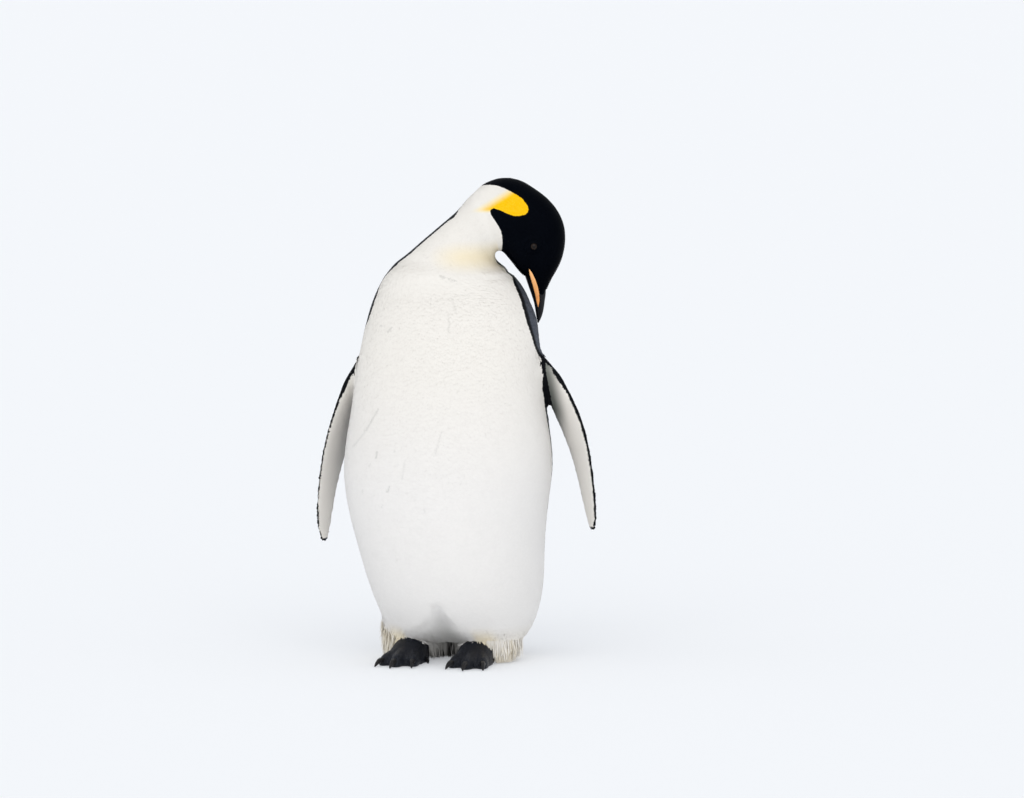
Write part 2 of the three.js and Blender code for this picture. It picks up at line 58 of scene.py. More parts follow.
# How often, and how strongly, each piece of the body is smoothed, and how deep its plumage is.
smoothing_rounds = 90
smoothing = {"trunk": 1.0, "neck": 0.28, "head": 0.22, "tail": 0.2, "flipper": 0.08, "leg": 0.5, "foot": 0.04}
plumage_depth = {"trunk": 0.0048, "neck": 0.0036, "head": 0.0019, "tail": 0.0030,
                 "flipper": 0.0009, "leg": 0.0040, "foot": 0.0}


def kind_of(node):
    """The kind of piece, whichever side of the body it is on."""
    return node.split("_")[0]


def welded(node):
    """The node's surface with its shared corners joined."""
    form = bmesh.new()
    form.from_mesh(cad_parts[node].data)
    bmesh.ops.remove_doubles(form, verts=form.verts, dist=1e-5)
    bmesh.ops.recalc_face_normals(form, faces=form.faces)
    return form


def new_mesh(name, points, faces):
    """A mesh from an array of points and an array of faces that all have the same number of corners."""
    mesh = bpy.data.meshes.new(name)
    corners = faces.shape[1]
    mesh.vertices.add(len(points))
    mesh.vertices.foreach_set("co", np.ascontiguousarray(points, np.float32).ravel())
    mesh.loops.add(faces.size)
    mesh.loops.foreach_set("vertex_index", np.ascontiguousarray(faces, np.int32).ravel())
    mesh.polygons.add(len(faces))
    mesh.polygons.foreach_set("loop_start", np.arange(0, faces.size, corners, dtype=np.int32))
    mesh.update(calc_edges=True)
    mesh.shade_smooth()
    return mesh


def new_piece(name, mesh):
    piece = bpy.data.objects.new(name, mesh)
    bpy.context.scene.collection.objects.link(piece)
    return piece


def closed_over(name, forms, voxel):
    """One closed surface over several closed forms, without their inner walls."""
    joined = bpy.data.meshes.new(name)
    whole = bmesh.new()
    for form in forms:
        part = bpy.data.meshes.new("part")
        form.to_mesh(part)
        whole.from_mesh(part)
        bpy.data.meshes.remove(part)
        form.free()
    whole.to_mesh(joined)
    whole.free()
    piece = new_piece(name, joined)
    remesh = piece.modifiers.new("remesh", "REMESH")
    remesh.mode = "VOXEL"
    remesh.voxel_size = voxel
    remesh.adaptivity = 0
    shape = piece.evaluated_get(bpy.context.evaluated_depsgraph_get())
    result = bpy.data.meshes.new_from_object(shape)
    piece.modifiers.clear()
    piece.data = result
    bpy.data.meshes.remove(joined)
    result.name = name
    result.shade_smooth()
    return piece


def keep_largest_shell(mesh):
    """Deletes every closed shell but the one with most corners."""
    form = bmesh.new()
    form.from_mesh(mesh)
    form.verts.ensure_lookup_table()
    label = np.full(len(form.verts), -1, int)
    shells = 0
    for start in form.verts:
        if label[start.index] >= 0:
            continue
        label[start.index] = shells
        waiting = [start]
        while waiting:
            corner = waiting.pop()
            for edge in corner.link_edges:
                other = edge.other_vert(corner)
                if label[other.index] < 0:
                    label[other.index] = shells
                    waiting.append(other)
        shells += 1
    biggest = np.bincount(label).argmax()
    spare = [form.verts[index] for index in np.nonzero(label != biggest)[0]]
    bmesh.ops.delete(form, geom=spare, context="VERTS")
    form.to_mesh(mesh)
    form.free()


def vertex_array(mesh, name):
    values = np.empty(len(mesh.vertices) * 3, np.float32)
    mesh.vertices.foreach_get(name, values)
    return values.reshape(-1, 3).astype(float)


def edge_array(mesh):
    edges = np.empty(len(mesh.edges) * 2, np.int32)
    mesh.edges.foreach_get("vertices", edges)
    return edges.reshape(-1, 2)


def triangle_array(mesh):
    mesh.calc_loop_triangles()
    triangles = np.empty(len(mesh.loop_triangles) * 3, np.int32)
    mesh.loop_triangles.foreach_get("vertices", triangles)
    return triangles.reshape(-1, 3)


def place_points(mesh, points):
    mesh.vertices.foreach_set("co", np.ascontiguousarray(points, np.float32).ravel())
    mesh.update()


def relaxed(values, edges, rounds, strength=0.5):
    """Values that flow towards their neighbours' mean. The strength may differ from corner to corner."""
    count = len(values)
    flat = np.array(values, float).reshape(count, -1)
    start, end = edges[:, 0], edges[:, 1]
    share = 1 / np.maximum(np.bincount(edges.ravel(), minlength=count), 1)
    pull = strength * np.ones(count)
    for _ in range(rounds):
        for column in range(flat.shape[1]):
            old = flat[:, column]
            total = np.bincount(start, old[end], count) + np.bincount(end, old[start], count)
            flat[:, column] = old + pull * (total * share - old)
    return flat.reshape(np.shape(values))


def unit(vectors):
    return vectors / np.maximum(np.linalg.norm(vectors, axis=-1, keepdims=True), 1e-12)


def dot(first, second):
    return (first * second).sum(axis=-1)


def eased(low, high, value):
    """0 at low and before, 1 at high and after, and an even S between them."""
    share = np.clip((value - low) / (high - low), 0, 1)
    return share * share * (3 - 2 * share)


flesh_forms = [welded(node) for node in flesh_nodes + eye_nodes]
for form in flesh_forms:
    for corner in form.verts:
        corner.co += corner.normal * seam_closing

# The chin hangs close over the left shoulder, so both are drawn back first for the gap to stay open.
gap_reach, gap_draw = 0.022, 0.0055
chin_and_shoulder = [flesh_forms[flesh_nodes.index(node)] for node in ("head", "trunk")]
facing_trees = [BVHTree.FromBMesh(form) for form in reversed(chin_and_shoulder)]
for form, tree in zip(chin_and_shoulder, facing_trees):
    for corner in form.verts:
        spot, _, _, distance = tree.find_nearest(corner.co)
        if 0.0015 < distance < gap_reach and (spot - corner.co).dot(corner.normal) > 0.3 * distance:
            corner.co -= corner.normal * gap_draw * eased(gap_reach, gap_reach / 2, distance)
skin = closed_over("skin", flesh_forms, skin_voxel)
keep_largest_shell(skin.data)

# Each corner of the skin belongs to the piece of the body that it lies on.
box_reach = 0.012
node_trees = {}
for node in flesh_nodes:
    form = welded(node)
    node_trees[node] = BVHTree.FromBMesh(form)
    form.free()


def nearest_nodes(points):
    """The piece of the body nearest to each point, and the nearest point on it."""
    nearest = np.full(len(points), 0)
    closest = np.full(len(points), 1.0)
    landed = points.copy()
    for index, node in enumerate(flesh_nodes):
        low, high = (np.array(end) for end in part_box(node))
        near = np.all((points > low - box_reach) & (points < high + box_reach), axis=1)
        for row in np.nonzero(near)[0]:
            spot, _, _, distance = node_trees[node].find_nearest(Vector(points[row]))
            if distance < closest[row]:
                closest[row] = distance
                nearest[row] = index
                landed[row] = spot
    return nearest, landed


def by_kind(table, region):
    """A value for each corner from a table of values by kind of piece."""
    return np.array([table[kind_of(node)] for node in flesh_nodes])[region]


def is_kind(region, *kinds):
    return np.array([kind_of(node) in kinds for node in flesh_nodes])[region]


points = vertex_array(skin.data, "co")
edges = edge_array(skin.data)
region, _ = nearest_nodes(points)
strength = by_kind(smoothing, region)
# The shoulders are smoothed less than the rest of the trunk.
strength -= np.where(is_kind(region, "trunk"), 0.65, 0) * eased(0.58, 0.70, points[:, 2])
points = relaxed(points, edges, smoothing_rounds, relaxed(strength, edges, 4))

# What the smoothing took from or added to the outline is given back, evenly.
place_points(skin.data, points)
region, landed = nearest_nodes(points)
normals = vertex_array(skin.data, "normal")
gap = dot(points - landed, normals)
broad = is_kind(region, "trunk", "neck") & (points[:, 2] < 0.70)
evening_rounds = 320
points -= normals * relaxed(gap, edges, evening_rounds, np.where(broad, 0.9, 0.12))[:, None]

# The belly is drawn in between the feet, where the fold that warms the egg opens. The plan's origin is the
# floor's point between the feet, a fixed length behind the longest toe.
toes_ahead = 0.12611
feet_box = [np.array([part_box("foot_right")[end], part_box("foot_left")[end]]) for end in (0, 1)]
plan_origin = np.array([(feet_box[0][0, 0] + feet_box[1][1, 0]) / 2, feet_box[0][0, 1] + toes_ahead, 0])
fold_top, fold_depth = 0.142, 0.052
fold_middle = plan_origin[0] + 0.003 + 0.017 * eased(0.05, 0.10, points[:, 2])
fold_half_width = 0.050 * (1 - 0.80 * eased(0.035, 0.115, points[:, 2]))
across = (points[:, 0] - fold_middle) / fold_half_width
fold = np.exp(-across ** 2) * (1 - eased(0.045, fold_top, points[:, 2]))
fold *= (points[:, 1] < 0) & is_kind(region, "trunk")
points[:, 1] += fold_depth * relaxed(fold, edges, 6)
place_points(skin.data, points)

eye_radius = 0.0095
eye_centres = {node: np.mean(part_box(node), axis=0) for node in eye_nodes}
head_middle = sum(eye_centres.values()) / 2
head_across = unit(eye_centres["eye_right"] - eye_centres["eye_left"])
head_low = np.array(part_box("head")[0])


def refine(mesh, near):
    """Splits the faces whose corners all pass a test on their place."""
    form = bmesh.new()
    form.from_mesh(mesh)
    form.verts.ensure_lookup_table()
    chosen = near(np.array([corner.co for corner in form.verts]))
    split = [edge for edge in form.edges if chosen[edge.verts[0].index] and chosen[edge.verts[1].index]]
    bmesh.ops.subdivide_edges(form, edges=split, cuts=1, use_grid_fill=True, smooth=0.0)
    form.to_mesh(mesh)
    form.free()


def outward_of(centre):
    """The way that an eye looks out of the head."""
    return head_across * np.sign(dot(centre - head_middle, head_across))


def eye_distance(points):
    return np.min([np.linalg.norm(points - centre, axis=1) for centre in eye_centres.values()], axis=0)


def on_feet(points):
    return points[:, 2] < 0.058


def on_head(points):
    return np.all(points > head_low + [0.02, -0.01, 0.0], axis=1)


# The head, the toes and the ring round each eye are worked in finer steps than the body.
refine(skin.data, lambda points: (on_feet(points) & (points[:, 1] < 0.0)) | on_head(points))
refine(skin.data, lambda points: eye_distance(points) < 0.020)
skin.data.shade_smooth()
points = vertex_array(skin.data, "co")
edges = edge_array(skin.data)
region, _ = nearest_nodes(points)
fine = on_feet(points) | on_head(points)
points = relaxed(points, edges, 3, np.where(fine, 0.4, 0.0))
place_points(skin.data, points)

# The lean plane: the neck and head bend in an upright plane, turned a little behind the bird's left.
lean_turn = math.radians(15)
lean_along = np.array([math.cos(lean_turn), math.sin(lean_turn), 0.0])
lean_across = np.array([-math.sin(lean_turn), math.cos(lean_turn), 0.0])
lean_set_back = -0.014

# The head narrows to the bill, so that its plumage ends flat against the horn. It reaches lowest on the
# bill's ridge. The rim is a sloping line in the lean plane, in mm.
bill_trees = []
for node in ("bill_upper", "bill_lower"):
    form = welded(node)
    bill_trees.append(BVHTree.FromBMesh(form))
    form.free()
rim_reach, rim_height, rim_slope, narrowing, ridge_reach = 166, 698, 0.75, 0.62, 0.018
bill_way = unit(np.array([0, 0, -1]) - 0.065 * lean_along)
past_rim = (points - plan_origin) @ lean_along * 1000 - rim_reach
above_rim = points[:, 2] * 1000 - rim_height - rim_slope * past_rim
near_rim = 1 - eased(1, 18, above_rim)
points += bill_way * (ridge_reach * near_rim * eased(4, 18, past_rim) * is_kind(region, "head"))[:, None]
for row in np.nonzero(is_kind(region, "head") & (above_rim < 18))[0]:
    near = [tree.find_nearest(Vector(points[row])) for tree in bill_trees]
    spot, facing_out, _, distance = min(near, key=lambda found: found[3])
    if (Vector(points[row]) - spot).dot(facing_out) > 0:
        points[row] += (np.array(spot) - points[row]) * narrowing * near_rim[row]
points = relaxed(points, edges, 2, np.where(is_kind(region, "head") & (above_rim < 24), 0.5, 0.0))
place_points(skin.data, points)

# The skin is drawn in by the depth of the plumage.
depth = relaxed(by_kind(plumage_depth, region), edges, 5)
depth = np.where(is_kind(region, "trunk", "neck", "head"), relaxed(depth, edges, 40), depth)
lid_reach = 0.0135
near_eye = eye_distance(points)
depth *= eased(lid_reach, lid_reach + 0.008, near_eye) * 0.6 + 0.4
normals = unit(relaxed(vertex_array(skin.data, "normal"), edges, 3))
points = points - normals * (depth + seam_closing)[:, None]

# Eyelids: a raised rim round the opening, which hugs the ball, and a fold outside it.
lid_opening, lid_rim, lid_fold, lid_width = 0.0062, 0.0011, 0.0007, 0.0011
rim_from_opening, fold_from_opening = 0.0009, 0.0042
opening_depth, ball_hidden = 0.0045, 0.0092
for centre in eye_centres.values():
    outward = outward_of(centre)
    offset = points - centre
    height = dot(offset, outward)
    beside = np.linalg.norm(offset - height[:, None] * outward, axis=1)
    near = (height > 0) & (beside < lid_reach)
    ball = np.sqrt(np.maximum(eye_radius ** 2 - beside ** 2, 0))
    rim = ball + lid_rim * np.exp(-((beside - lid_opening - rim_from_opening) / lid_width) ** 2) + 0.0002
    lidded = np.where(beside < lid_opening, ball - opening_depth, rim)
    fold = -lid_fold * np.exp(-((beside - lid_opening - fold_from_opening) / lid_width) ** 2)
    blend = eased(0.0085, lid_reach, beside)
    settled = lidded * (1 - blend) + (height + fold) * blend
    settled = np.maximum(settled, np.where(beside < lid_opening, -1, height))
    settled = np.where(beside > ball_hidden, height + fold, settled)
    points[near] += ((settled - height)[:, None] * outward)[near]
place_points(skin.data, points)


# Lie of the plumage. ------------------------------------------------------------------------------------
# The body's rings run from the rump to the base of the bill, and a feather knows its place by its ring and
# by its angle round it. Feathers lie from bill to tail, along the flippers to their tips, and down the legs.

# Trunk rings: height, middle of the depth, how far the ring has swung to the left, and half its width.
trunk_rings = [
    (16, 105, 8, 62), (52, 60, 12, 129), (86, 40, 14.5, 148.5), (150, 15, 15.5, 165.5),
    (225, -2.5, 10, 177), (309, -13, 5.5, 192.5), (388, -18, 8.5, 201.5), (470, -18.5, 9.5, 190.5),
    (547, -16, 8, 180), (605, -13.5, 11, 174), (651, -12, 13, 166), (693, -11.5, 11.5, 152.5),
    (728, -10.5, 9, 135),
]
# Neck and head rings: outer and inner end, as reach along the plane of the bend and height.
neck_rings = [
    (-107, 759, 117, 755), (-78, 782, 99, 769), (-46, 810, 94.5, 781), (-8, 842, 94, 788),
    (23, 869, 96, 791.5), (56, 908, 101, 791.5), (84.5, 925, 105, 789.5), (114.6, 931, 109, 786),
    (145, 924, 113.5, 780.5), (171, 907.5, 118, 774.5), (196, 888.5, 123, 767.5), (214, 865, 128.6, 759.5),
    (225, 840, 134.4, 751), (227.5, 813, 140.2, 741.5), (224.6, 788, 146, 732), (217, 764.5, 151.7, 722),
    (206.5, 746, 156.5, 712.5), (197, 730, 161, 704), (190, 716, 166, 698),
]
neck_base = len(trunk_rings)
crown = neck_base + 5
ring_step = 0.125


def lean_point(reach, height):
    return plan_origin + lean_along * reach / 1000 + lean_across * lean_set_back + [0, 0, height / 1000]


inner_ends = [plan_origin + np.array([swing + half, middle, height]) / 1000
              for height, middle, swing, half in trunk_rings]
outer_ends = [plan_origin + np.array([swing - half, middle, height]) / 1000
              for height, middle, swing, half in trunk_rings]
inner_ends += [lean_point(reach, height) for _, _, reach, height in neck_rings]
outer_ends += [lean_point(reach, height) for reach, height, _, _ in neck_rings]
rearward = [np.array([0.0, 1.0, 0.0])] * neck_base + [lean_across] * len(neck_rings)
steps = np.arange(0, len(inner_ends) - 1 + 0.001, ring_step)


def in_steps(rows):
    rows = np.array(rows, float)
    return np.stack([np.interp(steps, range(len(rows)), rows[:, axis]) for axis in range(3)], axis=1)


step_middle = (in_steps(inner_ends) + in_steps(outer_ends)) / 2
step_rear = unit(in_steps(rearward))
step_inward = unit(in_steps(inner_ends) - in_steps(outer_ends))
step_upward = unit(np.cross(step_inward, step_rear))
step_run = unit(np.gradient(step_middle, axis=0))


def place_along(points, region):
    """Each point's place along the body, counted in rings from the rump."""
    place = np.zeros(len(points))
    closest = np.full(len(points), 9.0)
    above_neck = is_kind(region, "neck", "head")
    head = is_kind(region, "head")
    before = None
    for index, step in enumerate(steps):
        offset = points - step_middle[index]
        above = dot(offset, step_upward[index])
        if before is not None:
            distance = np.linalg.norm(offset, axis=1)
            better = (before >= 0) & (above < 0) & (distance < closest)
            better &= np.where(above_neck, step > neck_base - 0.8, step <= neck_base + 0.6)
            better &= np.where(head, step > crown - 1.5, step < crown + 1.5)
            share = before / np.maximum(before - above, 1e-9)
            place = np.where(better, step - ring_step * (1 - share), place)
            closest = np.where(better, distance, closest)
        before = above
    lost = closest > 8
    if lost.any():
        gap = np.linalg.norm(points[lost][:, None, :] - step_middle[None, ::2], axis=2)
        place[lost] = steps[::2][gap.argmin(axis=1)]
    return place


def at_place(rows, place):
    return np.stack([np.interp(place, steps, rows[:, axis]) for axis in range(3)], axis=1)


def angle_round(points, place):
    """The angle round the ring: 0 on the bird's left or inside the bend, 90 behind, in degrees to 270."""
    offset = points - at_place(step_middle, place)
    behind, inward = dot(offset, at_place(step_rear, place)), dot(offset, at_place(step_inward, place))
    angle = np.degrees(np.arctan2(behind, inward))
    return np.where(angle < -90, angle + 360, angle)


place = relaxed(place_along(points, region), edges, 6)

# Limbs have a way of their own: flippers to their tips, the tail back and down, the legs down and forward.
leg_way = (0, -0.25, -0.97)
limb_way = {"flipper_left": unit(np.array([138, 16, -366])),
            "flipper_right": unit(np.array([-107, 21, -386])), "tail": (0, 0.62, -0.78),
            "leg_left": leg_way, "leg_right": leg_way, "foot_left": leg_way, "foot_right": leg_way}
lie = -at_place(step_run, place)
for node, way in limb_way.items():
    lie[region == flesh_nodes.index(node)] = way
lie = relaxed(lie, edges, 14)
normals = vertex_array(skin.data, "normal")
lie = unit(lie - normals * dot(lie, normals)[:, None])

corners = triangle_array(skin.data)
edge_one = points[corners[:, 1]] - points[corners[:, 0]]
edge_two = points[corners[:, 2]] - points[corners[:, 0]]
facing = np.cross(edge_one, edge_two)
area = np.linalg.norm(facing, axis=1) / 2
corner_count = np.maximum(np.bincount(corners.ravel(), minlength=len(points)), 1)


def slope_of(values, rounds):
    """The slope of a value over the skin, as a vector at each corner."""
    rise_one = values[corners[:, 1]] - values[corners[:, 0]]
    rise_two = values[corners[:, 2]] - values[corners[:, 0]]
    slope = rise_one[:, None] * np.cross(edge_two, facing) + rise_two[:, None] * np.cross(facing, edge_one)
    slope = slope / np.maximum(dot(facing, facing), 1e-18)[:, None]
    at_corners = np.stack([sum(np.bincount(corners[:, corner], slope[:, axis], len(points))
                               for corner in range(3)) for axis in range(3)], axis=1)
    return relaxed(at_corners / corner_count[:, None], edges, rounds)


steepest = 120  # rings to a metre
place_slope = slope_of(place, 8)
place_slope *= np.minimum(1, steepest / np.maximum(np.linalg.norm(place_slope, axis=1, keepdims=True), 1e-9))

# How sharply the skin curves away along the lie of the plumage, which each vane follows.
soft_normals = unit(relaxed(normals, edges, 3))
bend = sum(dot(slope_of(soft_normals[:, axis], 2), lie) * lie[:, axis] for axis in range(3))
sharpest_bend = 45
bend = np.clip(relaxed(bend, edges, 3), -sharpest_bend, sharpest_bend)


# Markings. ----------------------------------------------------------------------------------------------
# White front, slate back edged with black, black head with a gold patch on each side, and a cream collar.
# Skin and vanes read the same marks, and a dark area is kept as a distance inside its edge, so that the edge
# stays clean across a vane. The feet are bare, scaled skin.

back_edges = np.array([
    # ring, end of the dark back on the outer side and on the inner side, in degrees
    (0, 150, 32), (3, 158, 24), (4, 164, 19), (5, 170, 15), (5.8, 176, 10), (6.5, 178, 7.7), (7.4, 179, 5),
    (8.4, 180, 2), (9.1, 184, -5), (9.7, 192, -9.5), (10.1, 199, -11), (10.7, 202, -10), (11.4, 201, -7),
    (11.8, 197, -5), (12.3, 193, -2.7), (12.9, 193, -7.6), (13.6, 194, -13), (14.1, 195, -12),
    (14.8, 196.5, 5), (16.2, 199, 45), (16.6, 206, 58), (16.85, 200, 65), (17.1, 184, 75), (17.5, 176, 92),
    (18.2, 174, 125), (19, 182, 165), (19.6, 170, 190), (31, 170, 190),
])
# Edge of the white and gold side of the head, as reach along the plane of the bend and height.
cheek_edge = [
    (20, 935), (50, 912.5), (56.5, 911.3), (69.2, 915.6), (84.9, 917.3), (100.6, 915.2), (116.3, 908.4),
    (131.9, 900.4), (143.7, 892.6), (152.5, 881.8), (157, 871.9), (153.5, 863.1), (143.7, 860.2),
    (131.9, 858.8), (122.1, 861.2), (112.3, 866.1), (100.6, 871), (89.8, 874.5), (84.3, 872), (83.3, 866.1),
    (87.9, 857.3), (94.7, 847.4), (101.6, 836.6), (105.4, 825.7), (106.9, 814), (106.6, 801.2),
    (104, 780), (60, 720), (-200, 700), (-200, 935),
]
# Ruffles on the breast, where vanes part and show their grey down: both ends, across the breast and height.
ruffles = [
    (-12, 746, 19, 737, 0.5), (12, 706, 19, 680, 0.25), (5, 676, 6, 642, 0.35), (-125, 651, -118, 650, 0.4),
    (-111, 640, -103, 649, 0.55), (-129, 495, -153, 452, 0.45), (-153, 452, -178, 420, 0.3),
    (-131, 416, -132, 405, 0.6), (-96, 421, -97, 418, 0.35), (-107, 352, -111, 341, 0.6),
    (-120, 316, -121, 312, 0.4), (-8, 457, -21, 412, 0.25), (-77, 403, -83, 368, 0.25),
    (-41, 312, -40, 307, 0.3), (-144, 392, -146, 388, 0.3), (-158, 342, -159, 338, 0.35),
]
back_border = 12
ruffle_half_width = (0.3, 2.4)
# How grey the ruffles are, and how dark the painted shade in the hollow between the feet is.
ruffle_ash, hollow_shade_and_grey = 0.55, 0.46

# Each round cuts the corners of the cheek's edge once more.
for _ in range(2):
    start, end = np.array(cheek_edge), np.roll(cheek_edge, -1, axis=0)
    cheek_edge = np.stack([start * 0.75 + end * 0.25, start * 0.25 + end * 0.75], axis=1).reshape(-1, 2)


def from_stroke(x, y, ax, ay, bx, by):
    """How far each point is from a straight stroke."""
    span = (bx - ax) ** 2 + (by - ay) ** 2
    share = np.clip(((x - ax) * (bx - ax) + (y - ay) * (by - ay)) / span, 0, 1)
    return np.hypot(x - ax - share * (bx - ax), y - ay - share * (by - ay))


def inside_outline(x, y, outline):
    """How far each point is inside a closed outline, below 0 outside it."""
    inside = np.zeros(len(x), bool)
    nearest = np.full(len(x), 1e9)
    for (ax, ay), (bx, by) in zip(outline, np.roll(outline, -1, axis=0)):
        inside ^= ((ay > y) != (by > y)) & (x < (bx - ax) * (y - ay) / (by - ay + 1e-12) + ax)
        nearest = np.minimum(nearest, from_stroke(x, y, ax, ay, bx, by))
    return np.where(inside, nearest, -nearest)


# Flipper stations from the shoulder: out, height, set back, chord, and turn of the leading edge outward.
flipper_stations = {
    "flipper_left": (1, [(142, 622, 10, 44, 46), (187, 570, 13, 74, 52), (214.5, 520, 16, 84, 54),
                         (239.5, 466, 18, 84, 52), (257, 412, 20, 77, 48), (268, 362, 22, 66, 46),
                         (275, 316, 24, 55, 45), (279.5, 280, 25, 42, 44), (281, 256, 26, 18, 44)]),
    "flipper_right": (-1, [(141, 608, 4, 44, 20), (174, 553, 8, 74, 21), (196, 498, 12, 85, 22),
                           (214, 446, 15, 86, 23), (230, 394, 18, 77, 24), (241.5, 344, 20, 66, 24),
                           (249.5, 292, 22, 56, 24), (252.5, 248, 24, 42, 24), (251.5, 220, 25, 18, 24)]),
}
leading_width = {"flipper_left": 7.5, "flipper_right": 6.0}


def flipper_marks(points, node):
    """Black leading edge, dark outer side, pale underside, and painted shade in the fold by the trunk."""
    side, rows = flipper_stations[node]
    rows = np.array(rows, float)[::-1]
    plan = (points - plan_origin) * 1000
    out, back, chord, turn = (np.interp(plan[:, 2], rows[:, 1], rows[:, k]) for k in (0, 2, 3, 4))
    turn = np.radians(turn)
    half_thickness = 0.6
    offset_x, offset_y = plan[:, 0] - side * out, plan[:, 1] - back
    forward = offset_x * side * np.sin(turn) - offset_y * np.cos(turn)
    outward = offset_x * side * np.cos(turn) + offset_y * np.sin(turn)
    from_leading = chord / 2 - forward
    from_tip = plan[:, 2] - rows[0, 1]
    edge = leading_width[node] * (0.90 + 0.10 * eased(0, 120, from_tip)) - from_leading
    outer_side = (outward - half_thickness) * 3
    trailing = 3.0 * (1 - eased(20, 110, from_tip)) - (chord - from_leading)
    dark = np.max([edge, outer_side, 8 - from_tip, trailing], axis=0)
    slate, shade = eased(6, 18, from_leading) * 0.8, np.zeros(len(points))
    if side > 0:
        high = np.nonzero(plan[:, 2] > 430)[0]
        crease = np.array([node_trees["trunk"].find_nearest(Vector(points[row]))[3] * 1000 for row in high])
        dark[high] = np.maximum(dark[high], 12 * eased(455, 490, plan[high, 2]) - crease)
        slate[high] *= eased(10, 26, crease)
        # Painted shade greys the flipper in the fold against the trunk and along its trailing edge below the
        # armpit.
        crease_shade = (1 - eased(12, 46, crease)) * eased(430, 490, plan[high, 2])
        from_trailing = chord[high] - from_leading[high]
        behind = (1 - eased(4, 36, from_trailing)) * eased(436, 480, plan[high, 2])
        shade[high] = np.maximum(crease_shade, behind)
    return dark, slate, shade


def markings(points, place, region):
    """How far each point lies inside a dark area, in mm, and its shares of slate, gold, cream, and ash grey
    and painted shade.
    """
    plan = (points - plan_origin) * 1000
    reach, height = plan @ lean_along, plan[:, 2]
    angle = angle_round(points, place)

    # The back: slate inside a black border, black from the neck up, and black rather than slate in the left
    # armpit.
    outer_edge = np.interp(place, back_edges[:, 0], back_edges[:, 1])
    inner_edge = np.interp(place, back_edges[:, 0], back_edges[:, 2])
    radius = 1000 * np.linalg.norm(points - at_place(step_middle, place), axis=1)
    dark = np.minimum(outer_edge - angle, angle - inner_edge) * np.radians(1) * radius
    slate = eased(back_border - 3, back_border + 4, dark) * (1 - eased(15.0, 18.2, place))
    armpit = eased(470, 500, height) * (1 - eased(560, 600, height)) * (plan[:, 0] > 0)
    slate *= 1 - armpit * (1 - eased(30, 50, dark))

    # The head: black outside the cheek's edge.
    upper = place > 15
    cheek = np.full(len(points), 60.0)
    cheek[upper] = inside_outline(reach[upper], height[upper], cheek_edge)
    cheek = np.where((place < crown - 0.2) & (height < 803), 60, cheek)
    dark = np.maximum(dark, -cheek)

    # The cheek is gold below its rear edge, and the gold fades to cream down the throat.
    gold = eased(-5, 15, (reach - 71) * 0.53 - (height - 880.2) * 0.85)
    gold *= eased(864, 873, height + 1.2 * np.maximum(reach - 86, 0)) * (place > 16.8)
    cream = np.exp(-((height - 781) / 25) ** 2) * eased(-60, 40, reach) * (place < crown + 0.5)
    cream = np.maximum(cream * 0.62, 0.10 * eased(300, 620, height) * (place < crown + 3))

    # The hollow between the feet gets painted shade, with a little grey of its own feathers, and grey down
    # shows where vanes part on the breast.
    front = (angle < 0) | (angle > 180)
    ash_and_shade = np.zeros(len(points))
    low = front & (height < 130) & (place < neck_base)
    spread = (plan[low, 0] - 3 - 0.17 * height[low]) / (58 - 0.42 * height[low])
    ash_and_shade[low] = hollow_shade_and_grey * np.exp(-spread ** 2) * (1 - eased(48, 112, height[low]))
    breast = np.nonzero(front & (height > 290) & (height < 760) & (place < neck_base + 1))[0]
    for ax, ay, bx, by, strength in ruffles:
        away = from_stroke(reach[breast], height[breast], ax, ay, bx, by)
        ash_and_shade[breast] = np.maximum(ash_and_shade[breast], strength * ruffle_ash * (1 - eased(*ruffle_half_width, away)))

    for index, node in enumerate(flesh_nodes):
        here = region == index
        if kind_of(node) == "flipper":
            dark[here], slate[here], ash_and_shade[here] = flipper_marks(points[here], node)
            cream[here] = 0.1
        if kind_of(node) == "tail":
            dark[here], slate[here] = 40, 0.35
        if kind_of(node) == "leg":
            cream[here] = 0.85 * eased(-0.2, 1, 1 - height[here] / 85)
            dark[here] = -20

    # The belly is stained cream low down, outside the feet.
    low_side = (1 - eased(40, 82, height)) * (place < neck_base)
    low_side *= eased(62, 78, np.abs(plan[:, 0])) * (1 - 0.8 * eased(92, 118, np.abs(plan[:, 0])))
    cream = np.maximum(cream, 0.62 * low_side)
    return {"dark": np.clip(dark, -40, 40), "slate": slate, "gold": gold, "cream": cream, "ash_and_shade": ash_and_shade}


def add_values(mesh, name, values):
    attribute = mesh.attributes.new(name, "FLOAT", "POINT")
    attribute.data.foreach_set("value", np.ascontiguousarray(values, np.float32))


for name, values in markings(points, place, region).items():
    add_values(skin.data, name, values)
add_values(skin.data, "along", np.full(len(points), 0.4))
add_values(skin.data, "vane", np.full(len(points), 0.5))


class Tone:
    """A socket of a finish, with the arithmetic that the finishes use."""

    def __init__(self, finish, socket):
        self.finish = finish
        self.socket = socket

    def joined(self, operation, first, second):
        return self.finish.node("ShaderNodeMath", {"operation": operation}, {0: first, 1: second})[0]

    def __add__(self, other):
        return self.joined("ADD", self, other)

    __radd__ = __add__

    def __sub__(self, other):
        return self.joined("SUBTRACT", self, other)

    def __rsub__(self, other):
        return self.joined("SUBTRACT", other, self)

    def __mul__(self, other):
        return self.joined("MULTIPLY", self, other)

    __rmul__ = __mul__


